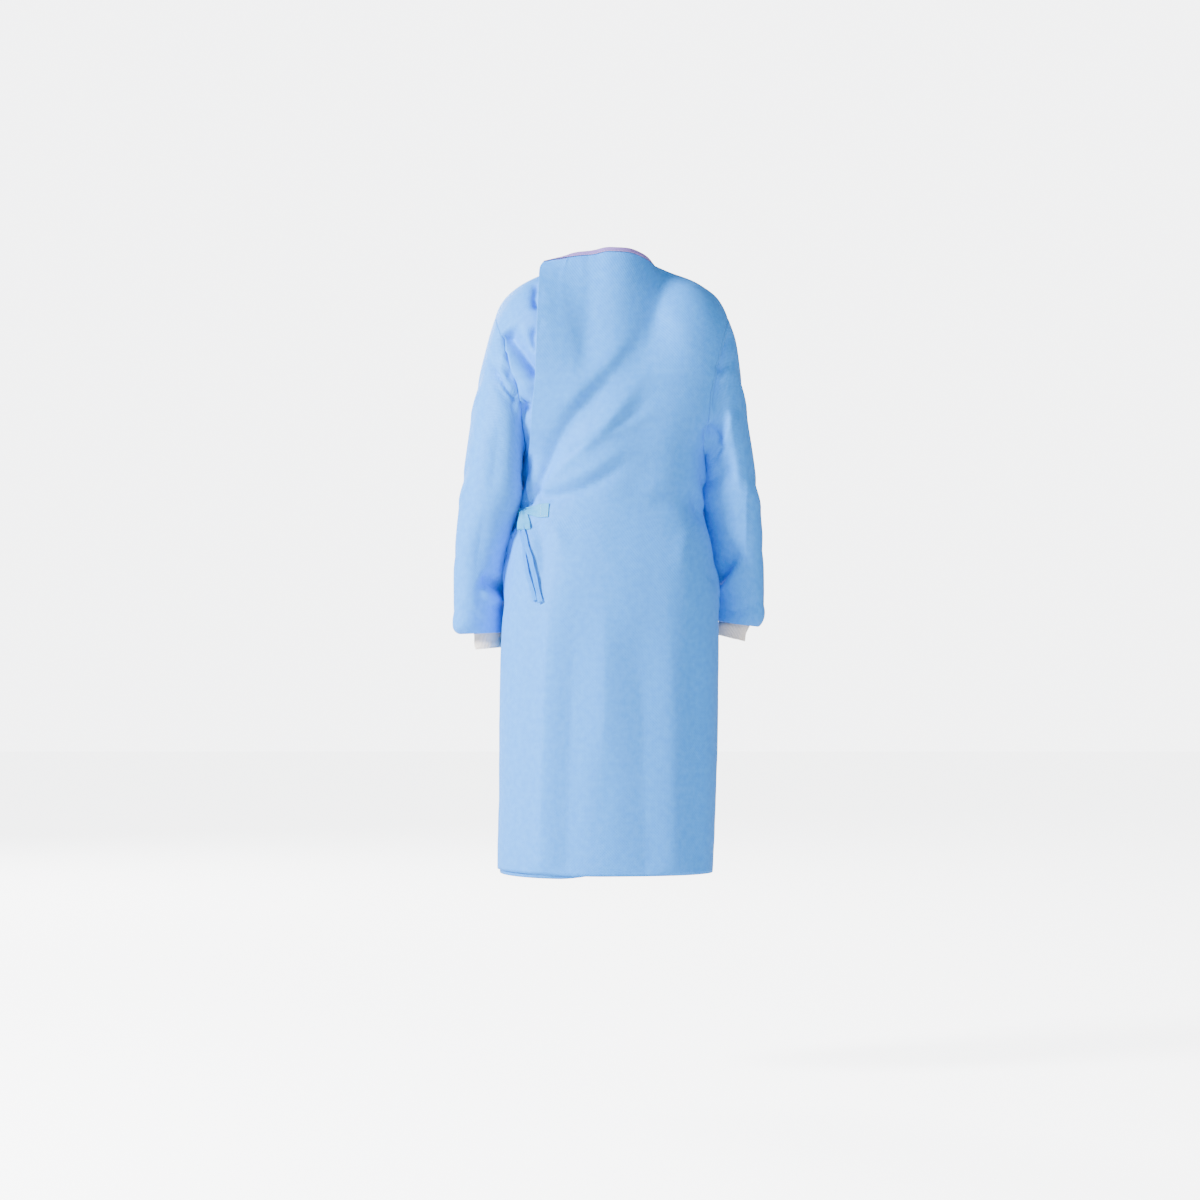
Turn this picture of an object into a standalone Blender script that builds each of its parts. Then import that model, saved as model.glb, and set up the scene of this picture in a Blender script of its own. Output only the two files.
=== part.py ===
"""Surgical gown, worn closed: the right back panel wraps over the left one and is tied at the
left of the waist. Neck, hem and both cuffs are open and the gown is hollow.

Metres, +Z up. The front faces -Y and the wearer's left is +X. The origin lies between the
shoulders at the base of the neck, where the wearer carries the gown.
"""

import math

import bmesh
import bpy
import numpy as np

# Driving dimensions, in metres
WALL = 0.0016
HALF_SEAM = 0.00015
FOLD_BACK_GAP = 0.0006
LAYER = 0.0045
NECK_LAYER = 0.0075

SIDE_Y = -0.004
NECK_SIDE = (0.076, 0.011)
NAPE = (0.062, 0.029)
THROAT = (-0.085, -0.063)
CHEST_Z = -0.200
UNDERARM_Z = -0.330
HEM_Z = -1.076
ARMHOLE_BACK_Y = 0.072
ARMHOLE_FRONT_Y = -0.078
TIE_Z = -0.433
TIE_WIDTH = 0.022

# The shoulder line seen from behind, neck to shoulder tip: distance out, height
SHOULDER_LINE = (
    (0.076, 0.011),
    (0.104, -0.002),
    (0.136, -0.014),
    (0.166, -0.030),
    (0.190, -0.050),
    (0.202, -0.069),
    (0.209, -0.086),
)

# Level sections of the body below the chest line
BODY_COLUMNS = ("height", "left", "right", "front", "back", "squareness")
BODY_SECTIONS = (
    (-0.200, 0.206, 0.222, -0.122, 0.108, 2.5),
    (-0.265, 0.183, 0.200, -0.124, 0.106, 2.45),
    (-0.330, 0.153, 0.165, -0.124, 0.101, 2.4),
    (-0.375, 0.155, 0.163, -0.121, 0.094, 2.35),
    (-0.410, 0.156, 0.157, -0.119, 0.091, 2.3),
    (-0.450, 0.163, 0.168, -0.122, 0.098, 2.3),
    (-0.490, 0.173, 0.179, -0.126, 0.109, 2.3),
    (-0.535, 0.1785, 0.185, -0.130, 0.120, 2.3),
    (-0.600, 0.1875, 0.190, -0.135, 0.129, 2.3),
    (-0.725, 0.1945, 0.1915, -0.139, 0.133, 2.3),
    (-0.900, 0.1965, 0.190, -0.141, 0.132, 2.3),
    (-1.076, 0.200, 0.184, -0.143, 0.130, 2.3),
)

# Free edge of the outer back panel: down to the tie by its distance out, below it by how far
# round the left side it reaches, where 1 is the side seam and 2 the middle of the front
OUTER_EDGE_OUT = (
    (0.014, 0.120),
    (-0.020, 0.1255),
    (-0.090, 0.129),
    (-0.200, 0.134),
    (-0.250, 0.139),
    (-0.304, 0.142),
    (-0.376, 0.1465),
    (-0.410, 0.1450),
    (-0.444, 0.1450),
)
OUTER_EDGE_ROUND = ((-0.466, 0.91), (-0.495, 1.04), (-0.540, 1.11), (-0.620, 1.15), (-1.076, 1.17))
OUTER_TOP = ((0.000, 0.029, 0.062), (0.055, 0.0223, 0.057), (0.120, 0.0103, 0.038))
INNER_EDGE_OUT = 0.028
INNER_HEM_DROP = 0.005
OUTER_HEM_RISE = 0.006

# Sleeve rings: the outer point, the point next to the body, and half the depth between them
SLEEVE_COLUMNS = ("outer x", "outer y", "outer z", "inner x", "inner y", "inner z", "half depth")
LEFT_SLEEVE = (
    (0.209, -0.004, -0.086, 0.152, -0.004, -0.330, 0.075),
    (0.221, 0.000, -0.128, 0.1560, 0.004, -0.335, 0.077),
    (0.236, 0.003, -0.190, 0.1575, 0.014, -0.346, 0.075),
    (0.250, 0.004, -0.262, 0.1580, 0.022, -0.362, 0.070),
    (0.261, 0.004, -0.336, 0.1580, 0.026, -0.386, 0.066),
    (0.270, 0.002, -0.405, 0.1620, 0.022, -0.420, 0.062),
    (0.277, -0.004, -0.462, 0.1745, -0.002, -0.464, 0.060),
    (0.2825, -0.012, -0.525, 0.1870, -0.030, -0.522, 0.058),
    (0.283, -0.020, -0.585, 0.1885, -0.050, -0.580, 0.056),
    (0.2845, -0.024, -0.622, 0.1880, -0.060, -0.614, 0.054),
    (0.279, -0.027, -0.642, 0.1885, -0.064, -0.636, 0.049),
    (0.268, -0.031, -0.6525, 0.1895, -0.061, -0.6490, 0.041),
    (0.257, -0.036, -0.6470, 0.1935, -0.058, -0.6430, 0.033),
    (0.2505, -0.038, -0.6360, 0.1985, -0.056, -0.6320, 0.0285),
)
RIGHT_SLEEVE = (
    (0.209, -0.004, -0.086, 0.165, -0.004, -0.330, 0.075),
    (0.223, -0.003, -0.125, 0.1675, -0.014, -0.335, 0.073),
    (0.232, -0.003, -0.185, 0.1670, -0.028, -0.344, 0.070),
    (0.243, -0.003, -0.260, 0.1640, -0.041, -0.359, 0.067),
    (0.255, -0.005, -0.335, 0.1600, -0.051, -0.381, 0.064),
    (0.265, -0.008, -0.405, 0.1530, -0.059, -0.415, 0.061),
    (0.272, -0.018, -0.465, 0.1610, -0.069, -0.462, 0.058),
    (0.275, -0.030, -0.525, 0.1730, -0.075, -0.520, 0.055),
    (0.2765, -0.040, -0.580, 0.1800, -0.078, -0.572, 0.053),
    (0.2785, -0.046, -0.612, 0.1820, -0.082, -0.600, 0.051),
    (0.2745, -0.050, -0.630, 0.1835, -0.082, -0.616, 0.047),
    (0.2660, -0.054, -0.6400, 0.1870, -0.080, -0.6260, 0.040),
    (0.2590, -0.057, -0.6340, 0.1920, -0.078, -0.6200, 0.033),
    (0.2540, -0.058, -0.6230, 0.1985, -0.077, -0.6090, 0.028),
)
SLEEVE_BLEND = 4.0
SLEEVE_DRAW_BACK = 0.00045
FACING_LEAST = 0.2

# Cuffs: how far down each ring lies from the sleeve's end, and how much the tube narrows
CUFF_LENGTH = 0.052
CUFF_RINGS = (-0.008, 0.0, 0.016, 0.030, 0.044)
CUFF_LEAN_IN = 0.006
CUFF_GAP = 0.0006
CUFF_TAPER = 0.06
CUFF_TAPER_REACH = 0.040

# Neck binding and ties
BINDING_WIDTH = 0.0050
BINDING_DEPTH = 0.0030
BINDING_GAP = 0.0005
TIE_WALL = 0.0012
TIE_GAP = 0.0007
PATCH_OUT = (0.108, 0.1450)
SIDE_TIE_ROUND = (1.14, 0.855)
SIDE_TIE_LIFT = (0.0024, 0.0072)
KNOT_PLACE = (0.1485, -0.4365)
KNOT_SIZE = (0.017, 0.008, 0.013)
KNOT_LIFT = 0.0068
LOOP_TOP = (0.1490, -0.4440)
LOOP_LOW = (0.1480, -0.4625)
LOOP_DEPTH = 0.006
LOOP_TOP_WIDTH = 0.015
LOOP_LOW_WIDTH = 0.024
END_TOP = (0.1495, -0.4475)
END_LOW = (0.1245, -0.5960)
END_LIFT = 0.0011
END_COLUMNS = ("name", "shift across", "width", "shorter by")
TIE_ENDS = (("tie_end_long", -0.0040, 0.009, 0.0), ("tie_end_short", 0.0047, 0.007, 0.003))

# The largest folds, drawn on the view named: start and end across and up, half width, height
FOLD_COLUMNS = ("view", "across 1", "up 1", "across 2", "up 2", "half width", "height")
FOLDS = (
    ("back", 0.124, -0.405, 0.035, -0.225, 0.021, -0.0060),
    ("back", 0.070, -0.240, -0.040, -0.110, 0.022, 0.0040),
    ("back", 0.105, -0.368, -0.060, -0.215, 0.021, 0.0045),
    ("back", 0.098, -0.405, -0.030, -0.335, 0.018, -0.0030),
    ("back", 0.112, -0.610, 0.122, -1.040, 0.026, 0.0050),
    ("back", 0.056, -0.640, 0.062, -1.060, 0.030, -0.0035),
    ("back", -0.060, -0.600, -0.080, -1.050, 0.034, 0.0030),
    ("back", 0.215, -0.175, 0.160, -0.246, 0.016, -0.0080),
    ("back", 0.200, -0.150, 0.165, -0.205, 0.015, 0.0040),
    ("back", 0.216, -0.560, 0.196, -0.566, 0.016, -0.0070),
    ("back", -0.213, -0.250, -0.185, -0.340, 0.015, 0.0050),
    ("back", -0.214, -0.270, -0.242, -0.450, 0.020, 0.0040),
    ("front", -0.120, -0.150, -0.020, -0.330, 0.022, -0.0040),
    ("front", 0.110, -0.170, 0.060, -0.360, 0.022, -0.0035),
    ("front", 0.140, -0.415, 0.010, -0.330, 0.021, -0.0045),
    ("front", -0.140, -0.405, -0.030, -0.375, 0.021, -0.0040),
    ("front", -0.075, -0.520, -0.095, -1.050, 0.030, 0.0045),
    ("front", 0.020, -0.560, 0.030, -1.050, 0.034, -0.0045),
    ("front", 0.110, -0.500, 0.125, -1.040, 0.028, 0.0040),
)

# Colours, linear
SMS_BLUE = (0.330, 0.560, 0.860, 1.0)
TIE_AQUA = (0.280, 0.620, 0.850, 1.0)
BINDING_LILAC = (0.470, 0.380, 0.560, 1.0)
KNIT_WHITE = (0.760, 0.720, 0.700, 1.0)

# Grid counts and blends
CHEST_ROWS = 8
ARMHOLE_ROWS = 5
LOWER_ROWS = (
    -0.352, -0.373, -0.392, -0.410, -0.428, -0.448, -0.470, -0.495,
    -0.525, -0.565, -0.620, -0.700, -0.810, -0.940, -1.076,
)
SHOULDER_COLUMNS = 6
NECK_FRACTION = 0.36
NECK_FLARE = 0.030
NECK_FLARE_REACH = 0.34
NECK_LIFT_BACK = 2.0
NECK_LIFT_FRONT = 1.4
NECK_COLUMNS = 19
OUTER_COLUMNS = 28
INNER_COLUMNS = 9
SECTION_SAMPLES = 90
AROUND_SAMPLES = 80
ROUND_OFF_START = 0.1
ROUND_OFF_REACH = 0.6
EDGE_EASE = 1.6
LAYER_START = 0.22
LAYER_REACH = 0.25
CORNER_START = 4
CORNER_EASE = 2
FACING_SOFT = 0.5
BINDING_SMOOTHINGS = 4
SEAM_FADE = 0.12
HEM_DROP_REACH = 0.12


def smoothstep(value):
    held = np.clip(value, 0.0, 1.0)
    return held * held * (3.0 - 2.0 * held)


def through(xs, ys, at):
    """A smooth curve through the points, read at one place. The xs may rise or fall."""
    xs = np.asarray(xs, float)
    ys = np.asarray(ys, float)
    if xs[0] > xs[-1]:
        xs = xs[::-1]
        ys = ys[::-1]
    slopes = np.gradient(ys, xs)
    at = float(np.clip(at, xs[0], xs[-1]))
    k = int(np.clip(np.searchsorted(xs, at) - 1, 0, len(xs) - 2))
    step = xs[k + 1] - xs[k]
    f = (at - xs[k]) / step
    return (
        ys[k] * (1 + 2 * f) * (1 - f) ** 2
        + slopes[k] * step * f * (1 - f) ** 2
        + ys[k + 1] * f * f * (3 - 2 * f)
        - slopes[k + 1] * step * f * f * (1 - f)
    )


def section(name, height):
    """One column of the body's table, read at a height."""
    heights = [row[0] for row in BODY_SECTIONS]
    values = [row[BODY_COLUMNS.index(name)] for row in BODY_SECTIONS]
    return through(heights, values, height)


def armhole_y(height, face):
    """How far back, or forward, the armhole's edge lies at a height between chest and underarm."""
    drop = min((CHEST_Z - height) / (CHEST_Z - UNDERARM_Z), 1.0)
    reach = ARMHOLE_BACK_Y if face == "back" else ARMHOLE_FRONT_Y
    return SIDE_Y + (reach - SIDE_Y) * math.sqrt(max(1.0 - drop * drop, 0.0))


def level_point(part_out, height, face, side):
    """A point of a level section. part_out runs along it, 0 in the middle and 1 at the side seam
    or, above the underarm, at the armhole's edge, which cuts the section short."""
    half = section("left" if side > 0 else "right", height)
    middle_y = section(face, height)
    power = 2.0 / section("squareness", height)
    angles = np.linspace(0.0, math.pi / 2, SECTION_SAMPLES)
    xs = half * np.sin(angles) ** power
    ys = SIDE_Y + (middle_y - SIDE_Y) * np.cos(angles) ** power
    along = np.concatenate([[0.0], np.cumsum(np.hypot(np.diff(xs), np.diff(ys)))])
    end = along[-1]
    if height > UNDERARM_Z:
        end = np.interp(abs(armhole_y(height, face)), abs(ys[::-1]), along[::-1])
    place = part_out * end
    return np.array([side * np.interp(place, along, xs), np.interp(place, along, ys), height])


def top_point(part_out, face, side):
    """A point of the upper edge: the neckline, then the shoulder seam out to its tip."""
    neck_x, neck_z = NECK_SIDE
    if part_out <= NECK_FRACTION:
        turn = math.pi / 2 * part_out / NECK_FRACTION
        middle_y, middle_z = NAPE if face == "back" else THROAT
        inward = max(math.cos(turn), 0.0)
        lift = inward ** (NECK_LIFT_BACK if face == "back" else NECK_LIFT_FRONT)
        y = SIDE_Y + (middle_y - SIDE_Y) * inward
        return np.array([side * neck_x * math.sin(turn), y, neck_z + (middle_z - neck_z) * lift])
    line = np.array(SHOULDER_LINE)
    steps = np.hypot(np.diff(line[:, 0]), np.diff(line[:, 1]))
    along = np.concatenate([[0.0], np.cumsum(steps)])
    place = along[-1] * (part_out - NECK_FRACTION) / (1.0 - NECK_FRACTION)
    x = np.interp(place, along, line[:, 0])
    return np.array([side * x, SIDE_Y, np.interp(place, along, line[:, 1])])


def body_point(around, row, face):
    """A point of the body's surface. around is -1 at the right side, 0 in the middle, 1 at the
    left side; past 1 it runs on to the front. row is ("top", part) or ("level", height)."""
    if around > 1.0:
        return body_point(2.0 - around, row, "front")
    side = 1.0 if around >= 0 else -1.0
    part_out = abs(around)
    kind, value = row
    if kind == "level":
        return level_point(part_out, value, face, side)
    above = top_point(part_out, face, side)
    below = level_point(part_out, CHEST_Z, face, side)
    round_off = smoothstep((part_out - ROUND_OFF_START) / ROUND_OFF_REACH)
    turn = math.pi / 2 * value
    outward = round_off * math.sin(turn) + (1 - round_off) * value
    downward = round_off * (1 - math.cos(turn)) + (1 - round_off) * value
    share = np.array([downward, outward, downward])
    near_neck = smoothstep(1.0 - abs(part_out - NECK_FRACTION) / NECK_FLARE_REACH)
    flare = NECK_FLARE * near_neck * 4.0 * value * (1.0 - value) ** 2
    return above + (below - above) * share + np.array([side * flare, 0.0, 0.0])


def body_rows():
    """The rows that all body panels share, so that their seams meet point to point."""
    rows = [("top", part) for part in np.linspace(0.0, 1.0, CHEST_ROWS + 1)]
    for turn in np.linspace(0.0, math.pi / 2, ARMHOLE_ROWS + 1)[1:]:
        rows.append(("level", CHEST_Z + (UNDERARM_Z - CHEST_Z) * math.sin(turn)))
    rows += [("level", height) for height in LOWER_ROWS]
    return rows


def top_part(row):
    """1 on the upper edge of a panel, 0 at the chest line and below."""
    return 1.0 - row[1] if row[0] == "top" else 0.0


def around_at(out, row):
    """Where a row of the left back lies this far out from the middle."""
    arounds = np.linspace(0.0, 1.0, AROUND_SAMPLES)
    outs = [body_point(a, row, "back")[0] for a in arounds]
    return float(np.interp(out, outs, arounds))


def outer_edge(row):
    """How far round the outer back panel's free edge lies in a row."""
    if row[0] == "top":
        height = CHEST_Z + (OUTER_EDGE_OUT[0][0] - CHEST_Z) * top_part(row) ** EDGE_EASE
    else:
        height = row[1]
    if height >= OUTER_EDGE_OUT[-1][0]:
        heights, outs = zip(*OUTER_EDGE_OUT)
        return around_at(through(heights, outs, height), row)
    heights, rounds = zip(*OUTER_EDGE_ROUND)
    last_height, last_out = OUTER_EDGE_OUT[-1]
    start = around_at(last_out, ("level", last_height))
    return through((last_height, *heights), (start, *rounds), height)


def normals_of(grid, closed, centre_of_row):
    """Unit normals of a grid of points, turned away from the middle of each row."""
    if closed:
        padded = np.concatenate([grid[:, -1:], grid, grid[:, :1]], axis=1)
        across = (padded[:, 2:] - padded[:, :-2]) / 2
    else:
        across = np.gradient(grid, axis=1)
    down = np.gradient(grid, axis=0)
    found = np.cross(across, down)
    found /= np.linalg.norm(found, axis=2, keepdims=True)
    away = grid - centre_of_row
    if (found * away).sum() < 0:
        found = -found
    return found


def body_normals(grid):
    centre = np.zeros_like(grid)
    centre[:, :, 2] = np.minimum(grid[:, :, 2], CHEST_Z)
    return normals_of(grid, False, centre)


def fold_height(points, normals):
    """How far the folds push each point out along its normal."""
    pushed = np.zeros(points.shape[:-1])
    for view, across_1, up_1, across_2, up_2, half_width, height in FOLDS:
        facing = normals[..., 1] if view == "back" else -normals[..., 1]
        flat = points[..., [0, 2]]
        start = np.array([across_1, up_1])
        run = np.array([across_2, up_2]) - start
        share = ((flat - start) @ run) / (run @ run)
        nearest = start + np.clip(share, 0.0, 1.0)[..., None] * run
        away = np.linalg.norm(flat - nearest, axis=-1)
        past = np.maximum(np.abs(share - 0.5) - 0.5, 0.0) * np.linalg.norm(run)
        shape = np.exp(-((away / half_width) ** 2) - (past / half_width) ** 2)
        pushed += height * shape * smoothstep(facing / FACING_SOFT)
    return pushed


def seam_fade(columns, rows, free_last):
    """0 on sewn edges and 1 well inside a panel, so that folds leave the seams alone."""
    across = np.linspace(0.0, 1.0, columns)
    fade = smoothstep(across / SEAM_FADE)
    if not free_last:
        fade = fade * smoothstep((1.0 - across) / SEAM_FADE)
    down = np.array([1.0 - top_part(row) ** 4 for row in rows])
    return down[:, None] * fade[None, :]


def front_grid(rows):
    shoulder = np.linspace(1.0, NECK_FRACTION, SHOULDER_COLUMNS + 1)
    neck = np.linspace(NECK_FRACTION, -NECK_FRACTION, NECK_COLUMNS)[1:-1]
    arounds = np.concatenate([shoulder, neck, -shoulder[::-1]])
    return np.array([[body_point(a, row, "front") for a in arounds] for row in rows])


def outer_grid(rows):
    shoulder = np.linspace(-1.0, -NECK_FRACTION, SHOULDER_COLUMNS + 1)
    grid = []
    for row in rows:
        rest = np.linspace(-NECK_FRACTION, outer_edge(row), OUTER_COLUMNS)[1:]
        grid.append([body_point(a, row, "back") for a in np.concatenate([shoulder, rest])])
    return np.array(grid)


def inner_grid(rows):
    shoulder = np.linspace(1.0, NECK_FRACTION, SHOULDER_COLUMNS + 1)
    grid = []
    for row in rows:
        rest = np.linspace(NECK_FRACTION, around_at(INNER_EDGE_OUT, row), INNER_COLUMNS)[1:]
        grid.append([body_point(a, row, "back") for a in np.concatenate([shoulder, rest])])
    return np.array(grid)


def lay_over(grid, rows):
    """Moves the outer back panel off the inner one, and its upper left corner off the shoulder."""
    normals = body_normals(grid)
    columns = grid.shape[1]
    across = np.linspace(0.0, 1.0, columns)
    raised = grid.copy()
    outs, heights, depths = zip(*OUTER_TOP)
    last = SHOULDER_COLUMNS
    for i, row in enumerate(rows):
        layer = LAYER + (NECK_LAYER - LAYER) * top_part(row)
        rise = layer * smoothstep((across - LAYER_START) / LAYER_REACH)
        raised[i] += normals[i] * rise[:, None]
        if top_part(row) > 0:
            for j in range(last, columns):
                out = grid[0, j, 0]
                if out <= 0:
                    continue
                share = out / grid[0, -1, 0]
                target_out = share * OUTER_TOP[-1][0]
                target = np.array([
                    target_out,
                    through(outs, depths, target_out) + NECK_LAYER * (1 - share),
                    through(outs, heights, target_out),
                ])
                base = grid[0, j] + normals[0, j] * NECK_LAYER
                blend = smoothstep(share * CORNER_START) * top_part(row) ** CORNER_EASE
                raised[i, j] += (target - base) * blend
    return raised


def drop_hem(grid, drops):
    """Lowers the last rows of a panel, most at its hem."""
    for j, drop in enumerate(drops):
        near = smoothstep((HEM_Z + HEM_DROP_REACH - grid[:, j, 2]) / HEM_DROP_REACH)
        grid[:, j, 2] -= drop * near


def inset_edges(grid, first, last, top_columns):
    """Draws sewn edges back by half a seam gap."""
    def pull(edge, inside):
        way = inside - edge
        length = np.linalg.norm(way, axis=-1, keepdims=True)
        return edge + way / np.maximum(length, 1e-9) * HALF_SEAM

    if first:
        grid[:, 0] = pull(grid[:, 0], grid[:, 1])
    if last:
        grid[:, -1] = pull(grid[:, -1], grid[:, -2])
    grid[0, top_columns] = pull(grid[0, top_columns], grid[1, top_columns])


def wall_mesh(name, grid, normals, closed, material, wall=WALL):
    """A closed wall: the grid as its outer face, the same points drawn in, and a rim."""
    rows, columns = grid.shape[:2]
    inner = grid - normals * wall
    points = np.concatenate([grid.reshape(-1, 3), inner.reshape(-1, 3)])
    behind = rows * columns
    faces = []
    last = columns if closed else columns - 1
    for i in range(rows - 1):
        for j in range(last):
            k = (j + 1) % columns
            quad = (i * columns + j, i * columns + k, (i + 1) * columns + k, (i + 1) * columns + j)
            faces.append(quad)
            faces.append(tuple(behind + v for v in reversed(quad)))
    rim = []
    for j in range(last):
        k = (j + 1) % columns
        rim.append((j, k))
        rim.append(((rows - 1) * columns + k, (rows - 1) * columns + j))
    if not closed:
        for i in range(rows - 1):
            rim.append(((i + 1) * columns, i * columns))
            rim.append((i * columns + columns - 1, (i + 1) * columns + columns - 1))
    for a, b in rim:
        faces.append((b, a, behind + a, behind + b))
    return finish_mesh(name, points, faces, material)


def finish_mesh(name, points, faces, material):
    """Makes the object, with every face turned outwards."""
    mesh = bpy.data.meshes.new(name)
    mesh.from_pydata([tuple(p) for p in points], [], faces)
    shaped = bmesh.new()
    shaped.from_mesh(mesh)
    bmesh.ops.recalc_face_normals(shaped, faces=shaped.faces)
    if shaped.calc_volume(signed=True) < 0:
        bmesh.ops.reverse_faces(shaped, faces=shaped.faces)
    shaped.to_mesh(mesh)
    shaped.free()
    mesh.materials.append(material)
    mesh.shade_smooth()
    made = bpy.data.objects.new(name, mesh)
    PARTS.objects.link(made)
    return made


def sleeve_grid(table, side, back_edge, front_edge):
    """Rings of a sleeve. The first is the armhole, read from the panels' own edges."""
    armhole = np.concatenate([back_edge, front_edge[-2:0:-1]])
    half = len(back_edge) - 1
    turns = np.concatenate([
        np.linspace(0, math.pi / 2, CHEST_ROWS + 1),
        np.linspace(math.pi / 2, math.pi, ARMHOLE_ROWS + 1)[1:],
    ])
    turns = np.concatenate([turns, -turns[half - 1:0:-1]])
    rings = []
    stations = np.arange(len(table), dtype=float)
    values = np.array(table)
    for station in sleeve_stations(len(table)):
        ring = [through(stations, values[:, c], station) for c in range(values.shape[1])]
        outer = np.array(ring[0:3]) * (side, 1, 1)
        inner = np.array(ring[3:6]) * (side, 1, 1)
        middle = (outer + inner) / 2
        arm = (outer - inner) / 2
        points = middle + np.cos(turns)[:, None] * arm
        points[:, 1] += ring[6] * np.sin(turns)
        rings.append(points)
    grid = np.array(rings)
    residual = armhole - grid[0]
    for i, station in enumerate(sleeve_stations(len(table))):
        grid[i] += residual * (1 - smoothstep(station / SLEEVE_BLEND))
    return grid


def sleeve_stations(count):
    """Where rings are read from a sleeve's table: half steps where it turns, whole ones below."""
    return [0, 0.5, 1, 1.5, 2, 2.5, 3, 3.5, *range(4, count)]


def sleeve_normals(grid):
    return normals_of(grid, True, grid.mean(axis=1, keepdims=True))


def share_normals(first, second, least=-0.9):
    """Gives two sewn edges one set of normals where they agree enough, and says where."""
    agree = (first * second).sum(axis=-1) > least
    both = first + second
    both /= np.maximum(np.linalg.norm(both, axis=-1, keepdims=True), 1e-9)
    first[agree] = both[agree]
    second[agree] = both[agree]
    return agree


def sew_sleeve(sleeve, normals, back_normals, front_normals):
    """Matches a sleeve's first ring to the armhole. Where the sleeve folds back down beside the
    body it stands off the panel instead."""
    count = len(back_normals)
    halves = ((slice(0, count), back_normals), (slice(count, None), front_normals[-2:0:-1]))
    for part, panel in halves:
        agree = share_normals(normals[0, part], panel, FACING_LEAST)
        sleeve[0, part] += panel * np.where(agree, 0.0, FOLD_BACK_GAP)[:, None]
    way = sleeve[1] - sleeve[0]
    sleeve[0] += way / np.linalg.norm(way, axis=1, keepdims=True) * SLEEVE_DRAW_BACK


def make_cuff(name, sleeve, side, material):
    """A knit tube that starts just inside the sleeve's turned-in end."""
    ring = sleeve[-1]
    middle = ring.mean(axis=0)
    axis = np.cross(ring[0] - middle, ring[len(ring) // 4] - middle)
    axis /= np.linalg.norm(axis)
    if axis[2] > 0:
        axis = -axis
    rings = []
    for down in CUFF_RINGS:
        radius = np.linalg.norm(ring - middle, axis=1, keepdims=True)
        narrow = (radius - CUFF_GAP) / radius * (1.0 - CUFF_TAPER * smoothstep(down / CUFF_TAPER_REACH))
        lean = np.array([-side * CUFF_LEAN_IN * down / CUFF_LENGTH, 0.0, 0.0])
        rings.append(middle + (ring - middle) * narrow + axis * down + lean)
    grid = np.array(rings)
    return wall_mesh(name, grid, sleeve_normals(grid), True, material)


def neck_path(panels):
    """The bound edge as (panel, column) pairs: along the outer back panel to the right of the
    neck, round the front, and along the inner back panel to its free edge."""
    front, outer, inner = panels
    path = [(outer, j) for j in range(outer[0].shape[1] - 1, SHOULDER_COLUMNS - 1, -1)]
    neck_columns = front[0].shape[1] - 2 * SHOULDER_COLUMNS
    path += [(front, SHOULDER_COLUMNS + j) for j in range(neck_columns - 2, 0, -1)]
    path += [(inner, j) for j in range(SHOULDER_COLUMNS, inner[0].shape[1])]
    return path


def make_binding(panels, material):
    """The folded tape that finishes the neckline, a rounded strip along the cloth's edge."""
    path = neck_path(panels)
    edges = np.array([grid[0, j] - normals[0, j] * WALL / 2 for (grid, normals), j in path])
    facings = np.array([normals[0, j] for (grid, normals), j in path])
    for _ in range(BINDING_SMOOTHINGS):
        facings[1:-1] = (facings[:-2] + 2 * facings[1:-1] + facings[2:]) / 4
    ways = np.gradient(edges, axis=0)
    sections = []
    for edge, facing, way in zip(edges, facings, ways):
        up = np.cross(facing, way)
        up /= np.linalg.norm(up)
        out = np.cross(way, up)
        out *= BINDING_DEPTH / 2 / np.linalg.norm(out)
        low = edge + up * BINDING_GAP
        shoulder = edge + up * (BINDING_GAP + BINDING_WIDTH - BINDING_DEPTH / 4)
        top = edge + up * (BINDING_GAP + BINDING_WIDTH)
        outside = [low + out, shoulder + out, top + out / 2]
        inside = [top - out / 2, shoulder - out, low - out]
        sections.append(outside + inside)
    return sweep_mesh("neck_binding", np.array(sections), material)


def sweep_mesh(name, sections, material):
    """A closed solid through sections that all have the same number of corners."""
    count, corners = sections.shape[:2]
    faces = []
    for i in range(count - 1):
        for j in range(corners):
            k = (j + 1) % corners
            first, after = i * corners, (i + 1) * corners
            faces.append((first + j, first + k, after + k, after + j))
    faces.append(tuple(range(corners)))
    faces.append(tuple((count - 1) * corners + j for j in reversed(range(corners))))
    return finish_mesh(name, sections.reshape(-1, 3), faces, material)


def tie_place(out, height, lift):
    """A place on the left back where ties lie: its point, lifted off the outer layer, and the
    direction it faces."""
    row = ("level", height)
    around = around_at(out, row)
    point = body_point(around, row, "back")
    along = body_point(around + 0.02, row, "back") - body_point(around - 0.02, row, "back")
    down = body_point(around, ("level", height - 0.01), "back")
    down -= body_point(around, ("level", height + 0.01), "back")
    normal = np.cross(along, down)
    normal *= np.sign(normal[1]) / np.linalg.norm(normal)
    return point + normal * (LAYER + lift + fold_height(point, normal)), normal


def make_flap_patch(material):
    """The end of the right tie, fixed flat on the outer back panel beside its free edge."""
    heights = np.linspace(TIE_Z + TIE_WIDTH / 2, TIE_Z - TIE_WIDTH / 2, 4)
    places = [[tie_place(out, height, TIE_GAP + TIE_WALL) for out in np.linspace(*PATCH_OUT, 8)]
              for height in heights]
    grid = np.array([[point for point, normal in row] for row in places])
    normals = np.array([[normal for point, normal in row] for row in places])
    return wall_mesh("flap_tie_patch", grid, normals, False, material, TIE_WALL)


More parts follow.
